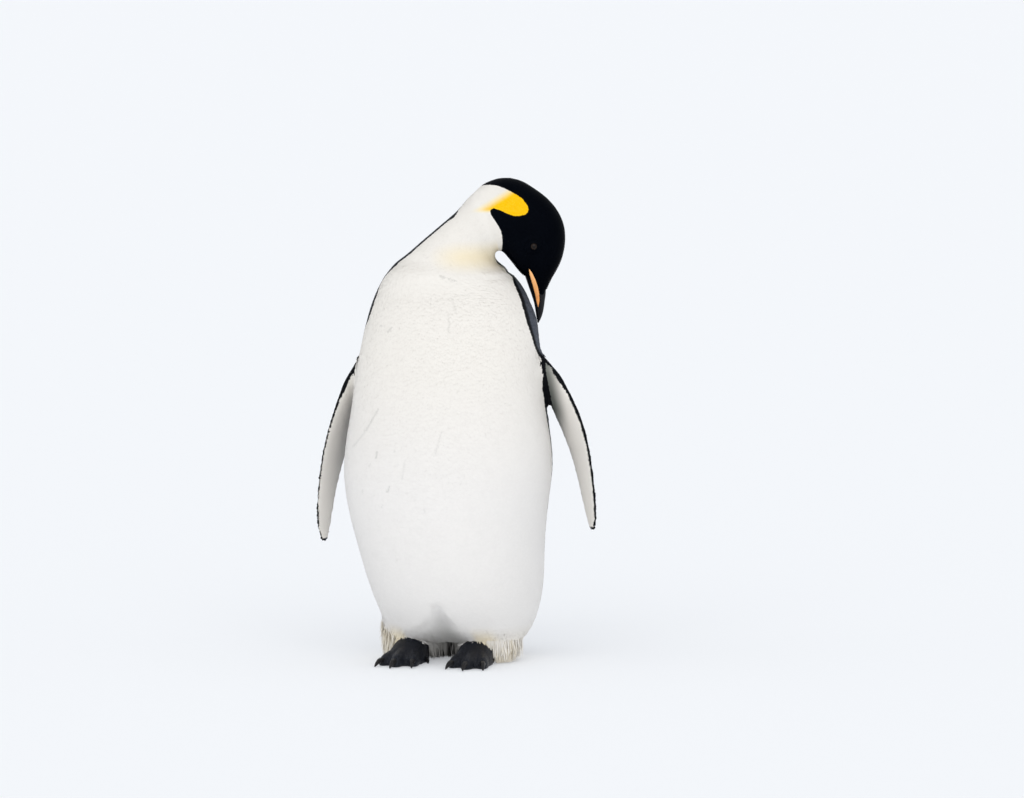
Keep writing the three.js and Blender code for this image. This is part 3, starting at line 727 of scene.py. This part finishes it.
class Finish:
    """A material that is built node by node."""

    def __init__(self, name):
        self.material = bpy.data.materials.new(name)
        self.material.use_nodes = True
        self.tree = self.material.node_tree
        self.tree.nodes.clear()

    def node(self, kind, settings=None, sockets=None):
        """Adds a node and gives its outputs, by number and by name."""
        made = self.tree.nodes.new(kind)
        for name, value in (settings or {}).items():
            setattr(made, name, value)
        for name, value in (sockets or {}).items():
            if isinstance(value, Tone):
                self.tree.links.new(value.socket, made.inputs[name])
            else:
                made.inputs[name].default_value = value
        outputs = {socket.name: Tone(self, socket) for socket in reversed(made.outputs)}
        outputs.update({number: Tone(self, socket) for number, socket in enumerate(made.outputs)})
        return outputs

    def value(self, name):
        return self.node("ShaderNodeAttribute", {"attribute_name": name})["Fac"]

    def place(self):
        return self.node("ShaderNodeTexCoord")["Object"]

    def noise(self, place, scale, detail):
        sockets = {"Vector": place, "Scale": scale, "Detail": detail}
        return self.node("ShaderNodeTexNoise", None, sockets)["Fac"]

    def relief(self, height, strength, distance):
        """The shading normal of small bumps, a distance in metres high."""
        return self.node("ShaderNodeBump", None, {
            "Strength": strength, "Distance": distance, "Height": height,
        })["Normal"]

    def mixed(self, share, first, second):
        """A colour between two colours."""
        first, second = ((*side, 1) if isinstance(side, tuple) else side for side in (first, second))
        return self.node("ShaderNodeMix", {"data_type": "RGBA"}, {"Factor": share, 6: first, 7: second})[2]

    def ramped(self, value, low, high):
        """0 to 1 as the value goes from low to high."""
        return self.node("ShaderNodeMapRange", {"interpolation_type": "SMOOTHSTEP"},
                         {"Value": value, "From Min": low, "From Max": high})["Result"]

    def shown(self, sockets):
        """The finished material, from what the surface's sockets hold."""
        surface = self.node("ShaderNodeBsdfPrincipled", None, sockets)[0]
        self.node("ShaderNodeOutputMaterial", None, {"Surface": surface})
        return self.material


def plumage_finish(name, ragged, roughness, gloss):
    """Feather: each vane has its own slight tint, and a dark edge frays a little from vane to vane."""
    finish = Finish(name)
    along, vane = finish.value("along"), finish.value("vane")
    cloud = finish.noise(finish.place(), 34, 2)
    white = finish.mixed(vane * 0.4 + cloud * 0.6, (0.800, 0.782, 0.762), (0.842, 0.824, 0.802))
    creamy = finish.mixed(finish.value("cream"), white, (0.90, 0.76, 0.46))
    # The ash share is grey down on the breast and painted shade in the hollow between the feet and the
    # flipper's fold, both mixed towards one grey.
    ashen_and_shaded = finish.mixed(finish.value("ash_and_shade"), creamy, (0.21, 0.22, 0.20))
    gold = finish.value("gold")
    gold_tint = finish.mixed(gold * gold * (0.75 + 0.25 * vane), (1.0, 0.72, 0.08), (0.99, 0.55, 0.0))
    golden = finish.mixed(gold, ashen_and_shaded, gold_tint)
    slate_tint = finish.mixed(vane * 0.5 + cloud * 0.5, (0.062, 0.070, 0.090), (0.190, 0.205, 0.245))
    slate_tint = finish.mixed(along * along, slate_tint, (0.045, 0.052, 0.070))
    black = finish.mixed(vane * cloud, (0.0004, 0.0010, 0.0026), (0.0018, 0.0028, 0.0056))
    dark_tint = finish.mixed(finish.value("slate"), black, slate_tint)
    dark = finish.ramped(finish.value("dark") + (vane - 0.5) * ragged, -0.5, 0.5)
    tint = finish.mixed(dark, golden, dark_tint)
    return finish.shown({"Base Color": tint, "Roughness": roughness, "Specular IOR Level": gloss})


body_plumage = plumage_finish("body_plumage", 2.2, 0.62, 0.12)
head_plumage = plumage_finish("head_plumage", 0.9, 0.50, 0.02)

# Foot skin: small raised scales with dark seams, leathery and a little wet.
foot_finish = Finish("foot_skin")
foot_place = foot_finish.place()
seams = foot_finish.node("ShaderNodeTexVoronoi", {"feature": "DISTANCE_TO_EDGE"},
                         {"Vector": foot_place, "Scale": 330, "Randomness": 0.8})["Distance"]
grain = foot_finish.noise(foot_place, 55, 4)
scale_top = foot_finish.ramped(seams, 0.0, 0.22)
foot_tint = foot_finish.mixed(scale_top * grain, (0.003, 0.004, 0.007), (0.024, 0.028, 0.042))
foot_relief = foot_finish.relief(scale_top + grain * 0.6, 0.7, 0.0009)
foot_skin = foot_finish.shown({
    "Base Color": foot_tint, "Roughness": 0.42, "Specular IOR Level": 0.22, "Normal": foot_relief,
})

skin.data.materials.clear()
for material in (body_plumage, foot_skin, head_plumage):
    skin.data.materials.append(material)
loop_corner = np.empty(len(skin.data.loops), np.int32)
skin.data.loops.foreach_get("vertex_index", loop_corner)
first_loop = np.empty(len(skin.data.polygons), np.int32)
skin.data.polygons.foreach_get("loop_start", first_loop)
covering = np.where(is_kind(region, "foot"), 1, np.where(is_kind(region, "head"), 2, 0)).astype(np.int32)
skin.data.polygons.foreach_set("material_index", covering[loop_corner[first_loop]])
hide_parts(*flesh_nodes)
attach(skin, "root")


# Contour feathers. --------------------------------------------------------------------------------------
# Short stiff vanes overlap all over the body like shingles, each with only its tip showing. They are
# longest on the trunk and shrink up the neck to the face.

class Roots:
    """Where vanes are rooted: a triangle of the skin for each, and its shares of the three corners."""

    def __init__(self, triangle, shares, random):
        self.triangle = triangle
        self.shares = shares
        self.random = random

    def at(self, values):
        held = values[corners[self.triangle]]
        shares = self.shares if held.ndim == 2 else self.shares[:, :, None]
        return (held * shares).sum(axis=1)

    def only(self, chosen):
        return Roots(self.triangle[chosen], self.shares[chosen], self.random)


def scattered(chosen, spacing, seed):
    """Roots spread evenly over the chosen triangles."""
    random = np.random.default_rng(seed)
    rows = np.nonzero(chosen)[0]
    total = np.cumsum(area[rows] / spacing[corners[rows]].mean(axis=1) ** 2)
    count = np.diff(np.floor(total + random.random()).astype(int), prepend=0)
    triangle = np.repeat(rows, count)
    shares = random.random((len(triangle), 2))
    over = shares.sum(axis=1) > 1
    shares[over] = 1 - shares[over]
    shares = np.column_stack([1 - shares.sum(axis=1), shares])
    return Roots(triangle, shares, random)


# A vane's rows from root to tip: share of its length, of its half width, and of its rise above the skin.
broad_vane = [(0.0, 0.0, -0.10), (0.38, 1.0, 0.68), (0.84, 0.82, 0.98), (1.0, 0.0, 1.0)]
small_vane = [(0.0, 0.0, -0.10), (0.60, 1.0, 0.86), (1.0, 0.0, 1.0)]
patch = 0.003  # a vane's side on the map OFBake, as a share of the map
clear_of_floor = 0.0006
limb_levels = 24


def grow(name, roots, length, width, rise, rows=broad_vane, cup=0.05, stray=0.06, lift=0.035, way=None,
         tint=None, finish=None, settle=0.8, turned_to=None, follow=1.0, limb=False):
    """One mesh of vanes, each rooted on the skin and lying along the plumage's way.

    The map OFBake gives each vane a small patch, at its root's place round and along the body, or round and
    up a limb.
    """
    root, normal = roots.at(points), unit(roots.at(normals))
    lying = roots.at(lie) if way is None else way
    bent = follow * roots.at(bend) * np.maximum(0, dot(lying, unit(roots.at(lie))))
    if way is None:
        lying = unit(lying - normal * dot(lying, normal)[:, None])
    side = unit(np.cross(normal, lying) + 1e-6)
    count = len(root)
    random = roots.random
    angle = random.normal(0, stray, count)[:, None]
    lying, side = lying * np.cos(angle) + side * np.sin(angle), side * np.cos(angle) - lying * np.sin(angle)
    length = length * random.uniform(0.86, 1.10, count)
    rise = rise * (1 + random.normal(0, lift, count))
    half = width / 2 * random.uniform(0.9, 1.1, count)
    places, patches, shares = [], [], []
    for share, breadth, height in rows:
        for across in (0.0,) if breadth == 0 else (-1.0, 0.0, 1.0):
            raised = height * rise - cup * half * abs(across) - bent * (share * length) ** 2 / 2
            places.append(root + lying * (share * length)[:, None] + side * (across * breadth * half)[:, None]
                          + normal * raised[:, None])
            patches.append((across * patch / 2, (share - 0.5) * patch))
            shares.append(share)
    faces = [(0, 1, 2), (0, 2, 3)]
    for first in range(1, 1 + 3 * (len(rows) - 3), 3):
        for left in (first, first + 1):
            faces += [(left, left + 4, left + 1), (left, left + 3, left + 4)]
    tip = len(places) - 1
    faces += [(tip - 3, tip, tip - 2), (tip - 2, tip, tip - 1)]
    per_vane = len(places)
    placed = np.stack(places, axis=1).reshape(-1, 3)
    placed[:, 2] = np.maximum(placed[:, 2], clear_of_floor)
    joined = (np.array(faces)[None] + (np.arange(count) * per_vane)[:, None, None]).reshape(-1, 3)
    mesh = new_mesh(name, placed, joined)

    owner = np.repeat(np.arange(count), per_vane)
    root_place = roots.at(place)
    shift = np.clip(dot(roots.at(place_slope)[owner], placed - root[owner]), -1.2, 1.2)
    marks = markings(placed, root_place[owner] + shift, region[corners[roots.triangle, 0]][owner])
    marks.update(tint or {})
    for mark, values in marks.items():
        add_values(mesh, mark, values * np.ones(len(placed)))
    add_values(mesh, "along", np.tile(shares, count))
    add_values(mesh, "vane", random.random(count)[owner])

    if limb:
        level = np.digitize(root[:, 2], np.linspace(root[:, 2].min(), root[:, 2].max(), limb_levels))
        members = np.maximum(np.bincount(level), 1)
        aside = [root[:, axis] - (np.bincount(level, root[:, axis]) / members)[level] for axis in (0, 1)]
        centre = np.stack([np.arctan2(aside[1], aside[0]), root[:, 2]], axis=1)
    else:
        centre = np.stack([angle_round(root, root_place), root_place], axis=1)
    low, high = centre.min(axis=0), centre.max(axis=0)
    centre = 0.02 + 0.96 * (centre - low) / np.maximum(high - low, 1e-6)
    unwrapped = (centre[:, None, :] + np.array(patches)[None]).reshape(-1, 2)
    layer = mesh.uv_layers.new(name="OFBake")
    layer.data.foreach_set("uv", unwrapped[joined.ravel()].astype(np.float32).ravel())

    turned_to = normal if turned_to is None else turned_to
    shaded = unit(vertex_array(mesh, "normal") * (1 - settle) + turned_to[owner] * settle)
    mesh.normals_split_custom_set_from_vertices(shaded)
    mesh.materials.append(finish or body_plumage)
    piece = new_piece(name, mesh)
    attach(piece, "root")
    return piece


thinning = 1.0
body_places = [0, 9, 13, 16, 18, 21, 26, 31]
body_length = np.interp(place, body_places, [20, 20, 17, 13, 9, 6.5, 4.5, 3.2]) / 1000
body_spacing = np.interp(place, body_places, [3.0, 3.0, 2.7, 2.2, 1.7, 1.4, 1.2, 1.1]) / 1000
body_table = {"trunk": 0, "neck": 0, "head": 0}
limb_length = body_table | {"tail": 0.012, "flipper": 0.0055, "leg": 0.018, "foot": 0.01}
limb_spacing = body_table | {"tail": 0.0024, "flipper": 0.0020, "leg": 0.0024, "foot": 0.01}
on_body = is_kind(region, "trunk", "neck", "head")
vane_length = relaxed(np.where(on_body, body_length, by_kind(limb_length, region)), edges, 4)
vane_spacing = relaxed(np.where(on_body, body_spacing, by_kind(limb_spacing, region)), edges, 4) * thinning
triangle_region = region[corners[:, 0]]
triangle_middle = points[corners].mean(axis=1)


def away_from_middle(spots):
    """Level and outward from the bird's middle."""
    return unit((spots - plan_origin - [0, 0.03, 0]) * [1, 1, 0])


def to_ground(spots):
    """How far each spot is above the foot or the floor below it."""
    above_floor, above_foot, least = 0.001, 0.0005, 0.003
    clear = spots[:, 2] - above_floor
    for row, spot in enumerate(spots):
        for node in ("foot_left", "foot_right"):
            landing = node_trees[node].ray_cast(Vector(spot), Vector((0, 0, -1)))[0]
            if landing is not None:
                clear[row] = min(clear[row], spot[2] - landing.z - above_foot)
    return np.maximum(clear, least)


# The trunk's plumage is made in four bands, one above another. Low down in front, the vanes lengthen and
# hang, and stop at the floor or the foot below.
roots = scattered(is_kind(triangle_region, "trunk"), vane_spacing, 11)
root_height = roots.at(points)[:, 2]
bands = np.digitize(root_height, np.quantile(root_height, [0.2, 0.45, 0.72]))
for band, name in enumerate(["rump", "belly", "breast", "shoulders"]):
    here = roots.only(bands == band)
    length = here.at(vane_length)
    root, normal = here.at(points), unit(here.at(normals))
    lying = here.at(lie)
    lying = unit(lying - normal * dot(lying, normal)[:, None])
    hanging = (1 - eased(0.064, 0.118, root[:, 2])) * (1 - eased(0.02, 0.07, root[:, 1]))
    length = length * (1 + 0.25 * hanging * here.random.uniform(0.0, 1.0, len(root)))
    lowest = root[:, 2] < 0.10
    length[lowest] = np.minimum(length[lowest], 0.004 + to_ground(root[lowest]) * 1.15)
    hang_way = unit(normal * [0.06, 0.08, 0] + lying + [0, 0, -0.35])
    lying = unit(lying * (1 - hanging[:, None]) + hang_way * hanging[:, None])
    turned_to = unit(normal * (1 - hanging[:, None]) + away_from_middle(root) * hanging[:, None])
    grow(f"plumage_{name}", here, length, length * (0.42 - 0.24 * hanging), here.at(depth),
                 way=lying, turned_to=turned_to)

roots = scattered(is_kind(triangle_region, "neck"), vane_spacing, 12)
length = roots.at(vane_length)
grow("plumage_neck", roots, length, length * 0.38, roots.at(depth))

# The face: the smallest vanes, none on the lids and none inside the bill's seat.
head_rows = np.nonzero(is_kind(triangle_region, "head"))[0]
lid_bare, seat_gap, seat_top = 0.0118, 0.0012, 0.79
bare = eye_distance(triangle_middle) < lid_bare
for row in head_rows[triangle_middle[head_rows, 2] < seat_top]:
    spot = Vector(triangle_middle[row])
    for tree in bill_trees:
        nearest, facing_out, _, gap = tree.find_nearest(spot)
        bare[row] |= gap < seat_gap or (spot - nearest).dot(facing_out) < 0
roots = scattered(is_kind(triangle_region, "head") & ~bare, vane_spacing, 13)
face_start = 21.5
for on_face, name in ((False, "crown"), (True, "face")):
    here = roots.only((roots.at(place) > face_start) == on_face)
    length = here.at(vane_length)
    grow(f"plumage_{name}", here, length, length * 0.40, here.at(depth), rows=small_vane,
                 finish=head_plumage)


# Flippers, tail and legs. -------------------------------------------------------------------------------
# A flipper is a stiff blade shingled with scale-like feathers. The tail is a short wedge of stiff quills
# behind the feet. Cream tufts hang from the legs and the hem of the belly over the feet.

for side_name in ("left", "right"):
    roots = scattered(triangle_region == flesh_nodes.index(f"flipper_{side_name}"), vane_spacing, 14)
    length = roots.at(vane_length)
    grow(f"plumage_flipper_{side_name}", roots, length, length * 0.62, roots.at(depth) * 0.8,
                 rows=small_vane, limb=True)

roots = scattered(is_kind(triangle_region, "tail"), vane_spacing, 15)
length = roots.at(vane_length)
grow("plumage_tail", roots, length, length * 0.34, roots.at(depth), limb=True)

# Quills reach from their roots to the tail's end, and are rooted more sparsely than the feathers over them.
quill_way = unit(np.array([0, 0.60, -0.80]))
quill_thinning, quill_width, quill_rise, quill_shortest, quill_longest = 3.6, 0.009, 0.0026, 0.022, 0.075
quills = scattered(is_kind(triangle_region, "tail"), vane_spacing * quill_thinning, 16)
tail_end = (points[is_kind(region, "tail")] @ quill_way).max()
quills = quills.only(tail_end - quills.at(points) @ quill_way > quill_shortest)
to_end = np.minimum(tail_end - quills.at(points) @ quill_way, quill_longest)
every_quill = np.ones(len(to_end))
grow("tail_quills", quills, to_end, quill_width * every_quill, quill_rise * every_quill,
             stray=0.03, settle=0.3, follow=0, limb=True)

# Tufts: long and narrow, and loose enough to hang apart.
tuft_vane = [(0.0, 0.0, -0.1), (0.25, 1.0, 0.5), (0.6, 0.9, 0.9), (1.0, 0.0, 1.0)]
tuft_points = 8
tuft_spacing = np.full(len(points), 0.0019 * thinning)
tuft_base_width, tuft_rise = 0.0010, 0.004


def hanging_tufts(name, chosen, seed, shortest, longest, spread, cream):
    """Tufts that hang from the chosen triangles, no lower than the foot or the floor below."""
    roots = scattered(chosen, tuft_spacing, seed)
    count = len(roots.triangle)
    root = roots.at(points)
    way = unit(roots.at(normals) * [1, 1, 0] * roots.random.uniform(*spread, (count, 1)) + [0, 0, -1])
    length = np.minimum(roots.random.uniform(shortest, longest, count), to_ground(root) * 1.03)
    shade = cream * roots.random.uniform(0.5, 1.0, count)
    piece = grow(name, roots, length, length * 0.055 + tuft_base_width, np.full(count, tuft_rise),
                 rows=tuft_vane, way=way, stray=0.10, lift=0.5, settle=0.75, turned_to=away_from_middle(root),
                 follow=0, limb=True, tint={"dark": -20.0, "cream": np.repeat(shade, tuft_points)})


middle = triangle_middle - plan_origin
beside = np.abs(middle[:, 0])
low_belly = is_kind(triangle_region, "trunk") & (middle[:, 2] < 0.058) & (middle[:, 1] < 0.05)
hem = low_belly & (middle[:, 2] < 0.044)
hanging_tufts("leg_tufts", is_kind(triangle_region, "leg"), 17, 0.016, 0.034, (0.0, 0.14), 0.45)
hanging_tufts("foot_fringe", hem & (beside > 0.036) & (beside < 0.110) & (middle[:, 1] < 0), 18,
              0.006, 0.016, (0.10, 0.35), 0.05)
hanging_tufts("belly_fringe", hem & (beside < 0.050), 19, 0.018, 0.038, (0.02, 0.12), 0.05)
hanging_tufts("flank_fringe", low_belly & (middle[:, 0] > 0.088) & (middle[:, 1] > -0.08), 20,
              0.020, 0.050, (-0.25, 0.05), 0.22)


# Eyes. --------------------------------------------------------------------------------------------------
# A dark brown, wet ball with a slight bulge over the iris, set behind the lids. Its colours are rings round
# the pupil, by the angle from the way it looks.

eye_rings, eye_segments = 28, 40
bulge_height, bulge_edge = 0.0005, 0.72
for node in eye_nodes:
    centre = eye_centres[node]
    outward = outward_of(centre)
    sideways = unit(np.cross(outward, [0, 0, 1]))
    upward = np.cross(sideways, outward)
    turns = np.linspace(0, 2 * math.pi, eye_segments, endpoint=False)
    ball, openness = [centre + outward * (eye_radius + bulge_height)], [0.0]
    for polar in np.linspace(0, math.pi, eye_rings + 1)[1:-1]:
        bulge = bulge_height * max(0.0, 1 - (polar / bulge_edge) ** 2)
        for turn in turns:
            around = sideways * math.cos(turn) + upward * math.sin(turn)
            facing = outward * math.cos(polar) + around * math.sin(polar)
            ball.append(centre + facing * (eye_radius + bulge))
            openness.append(polar)
    ball.append(centre - outward * eye_radius)
    openness.append(math.pi)
    faces = []
    for ring in range(eye_rings - 2):
        for segment in range(eye_segments):
            first = 1 + ring * eye_segments + segment
            second = 1 + ring * eye_segments + (segment + 1) % eye_segments
            faces += [(first, first + eye_segments, second + eye_segments)]
            faces += [(first, second + eye_segments, second)]
    last = 1 + (eye_rings - 2) * eye_segments
    for segment in range(eye_segments):
        following = (segment + 1) % eye_segments
        faces += [(0, 1 + segment, 1 + following), (len(ball) - 1, last + following, last + segment)]
    mesh = new_mesh(node + "_ball", np.array(ball), np.array(faces))
    add_values(mesh, "from_pupil", np.array(openness))
    if node == eye_nodes[0]:
        eye_finish = Finish("wet_eye")
        from_pupil = eye_finish.value("from_pupil")
        fleck = eye_finish.noise(eye_finish.place(), 900, 3)
        iris = eye_finish.mixed(fleck, (0.005, 0.0022, 0.0014), (0.016, 0.007, 0.0035))
        pupil = eye_finish.mixed(eye_finish.ramped(from_pupil, 0.24, 0.28), (0.001, 0.001, 0.001), iris)
        rim = eye_finish.mixed(eye_finish.ramped(from_pupil, 0.62, 0.72), pupil, (0.003, 0.0025, 0.0025))
        eye_material = eye_finish.shown({
            "Base Color": rim, "Roughness": 0.3, "Specular IOR Level": 0.1, "Coat Weight": 0.16,
            "Coat Roughness": 0.03,
        })
    mesh.materials.append(eye_material)
    piece = new_piece(node + "_ball", mesh)
    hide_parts(node)
    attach(piece, "root")


# Bill. --------------------------------------------------------------------------------------------------
# Two slender halves of dark horn that curve down to the tip, with an orange plate let into each side of the
# lower half.

horn_growth = 0.0004


def horn_piece(name, nodes, voxel, rounds, finish):
    """A smooth closed piece over the given nodes, a hair larger so that the halves of the bill close."""
    piece = closed_over(name, [welded(node) for node in nodes], voxel)
    horn_points, horn_edges = vertex_array(piece.data, "co"), edge_array(piece.data)
    for _ in range(rounds):
        horn_points = relaxed(horn_points, horn_edges, 1, 0.5)
        horn_points = relaxed(horn_points, horn_edges, 1, -0.52)  # gives back what the first step shrank
    place_points(piece.data, horn_points + vertex_array(piece.data, "normal") * horn_growth)
    piece.data.materials.clear()
    piece.data.materials.append(finish)
    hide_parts(*nodes)
    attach(piece, "root")


bill_finish = Finish("bill_horn")
bill_place = bill_finish.place()
drawn_out = {"Vector": bill_place, "Scale": (1, 1, 0.12)}
streak = bill_finish.noise(bill_finish.node("ShaderNodeMapping", None, drawn_out)["Vector"], 700, 3)
patchy = bill_finish.noise(bill_place, 80, 3)
bill_tint = bill_finish.mixed(streak * patchy, (0.002, 0.002, 0.003), (0.020, 0.020, 0.024))
bill_horn = bill_finish.shown({
    "Base Color": bill_tint, "Roughness": 0.34 + patchy * 0.12, "Specular IOR Level": 0.2,
    "Normal": bill_finish.relief(streak, 0.3, 0.0003),
})
for node in ("bill_upper", "bill_lower"):
    horn_piece(node + "_horn", [node], 0.0010, 9, bill_horn)

plate_finish = Finish("bill_plate")
plate_place = plate_finish.place()
plate_cloud = plate_finish.noise(plate_place, 120, 3)
plate_height = plate_finish.node("ShaderNodeSeparateXYZ", None, {"Vector": plate_place})["Z"]
plate_tint = plate_finish.mixed(plate_finish.ramped(plate_height, 0.690, 0.755), (1.0, 0.36, 0.08),
                                (1.0, 0.50, 0.20))
plate_tint = plate_finish.mixed(plate_cloud * 0.5, plate_tint, (1.0, 0.60, 0.26))
bill_plate = plate_finish.shown({"Base Color": plate_tint, "Roughness": 0.36, "Specular IOR Level": 0.4})
for node in ("bill_plate_right", "bill_plate_left"):
    horn_piece(node + "_horn", [node], 0.0007, 6, bill_plate)


# Claws. -------------------------------------------------------------------------------------------------
# Four strong curved claws on each foot, of black horn with a fine grain. They are made as one piece for each
# foot, and stand out of its skin.

claw_finish = Finish("claw_horn")
claw_grain = claw_finish.noise(claw_finish.place(), 260, 3)
claw_tint = claw_finish.mixed(claw_grain, (0.003, 0.003, 0.004), (0.016, 0.015, 0.016))
claw_horn = claw_finish.shown({"Base Color": claw_tint, "Roughness": 0.35, "Specular IOR Level": 0.25})
for side_name in ("right", "left"):
    nodes = [f"claw_{toe}_{side_name}" for toe in ("inner", "middle", "outer", "hind")]
    horn_piece(f"claws_{side_name}", nodes, 0.0008, 5, claw_horn)


# Camera, floor and light. -------------------------------------------------------------------------------
# The bird stands on a plain pale floor that glows a little, as snow does, in soft light from in front. It is
# seen from a little above and from its left front.

floor_half = 220.0
floor_mesh = new_mesh("floor", np.array([[-1, -1, 0], [1, -1, 0], [1, 1, 0], [-1, 1, 0]]) * floor_half,
                      np.array([[0, 1, 2, 3]]))
floor = new_piece("floor", floor_mesh)
floor_mesh.materials.append(Finish("pale_floor").shown({
    "Base Color": (0.60, 0.61, 0.62, 1), "Roughness": 0.9, "Specular IOR Level": 0.05,
    "Emission Color": (0.94, 0.96, 1.0, 1), "Emission Strength": 0.335,
}))

world = bpy.data.worlds.new("studio")
bpy.context.scene.world = world
world.use_nodes = True
world.node_tree.nodes["Background"].inputs["Color"].default_value = (0.95, 0.97, 1.0, 1)
world.node_tree.nodes["Background"].inputs["Strength"].default_value = 0.86
bpy.context.scene.view_settings.view_transform = "Standard"

lamp = bpy.data.lights.new("soft_key", "SUN")
lamp.energy = 0.95
lamp.angle = math.radians(60)
lamp.color = (1.0, 0.985, 0.955)
holder = bpy.data.objects.new("soft_key", lamp)
bpy.context.scene.collection.objects.link(holder)
holder.rotation_euler = Vector((0.22, -0.95, 0.60)).to_track_quat("Z", "Y").to_euler()

azimuth, elevation, distance = math.radians(15), math.radians(5), 12.0
aim_right, aim_up = 0.125, 0.503
back = Vector((math.sin(azimuth) * math.cos(elevation), -math.cos(azimuth) * math.cos(elevation),
               math.sin(elevation)))
right = Vector((math.cos(azimuth), math.sin(azimuth), 0))
above = back.cross(right)
lens = bpy.data.cameras.new("camera")
lens.sensor_width = 36
lens.lens = 219.7
lens.clip_end = 1000
camera = bpy.data.objects.new("camera", lens)
bpy.context.scene.collection.objects.link(camera)
camera.location = Vector(plan_origin) + right * aim_right + above * aim_up + back * distance
camera.rotation_euler = back.to_track_quat("Z", "Y").to_euler()
bpy.context.scene.camera = camera
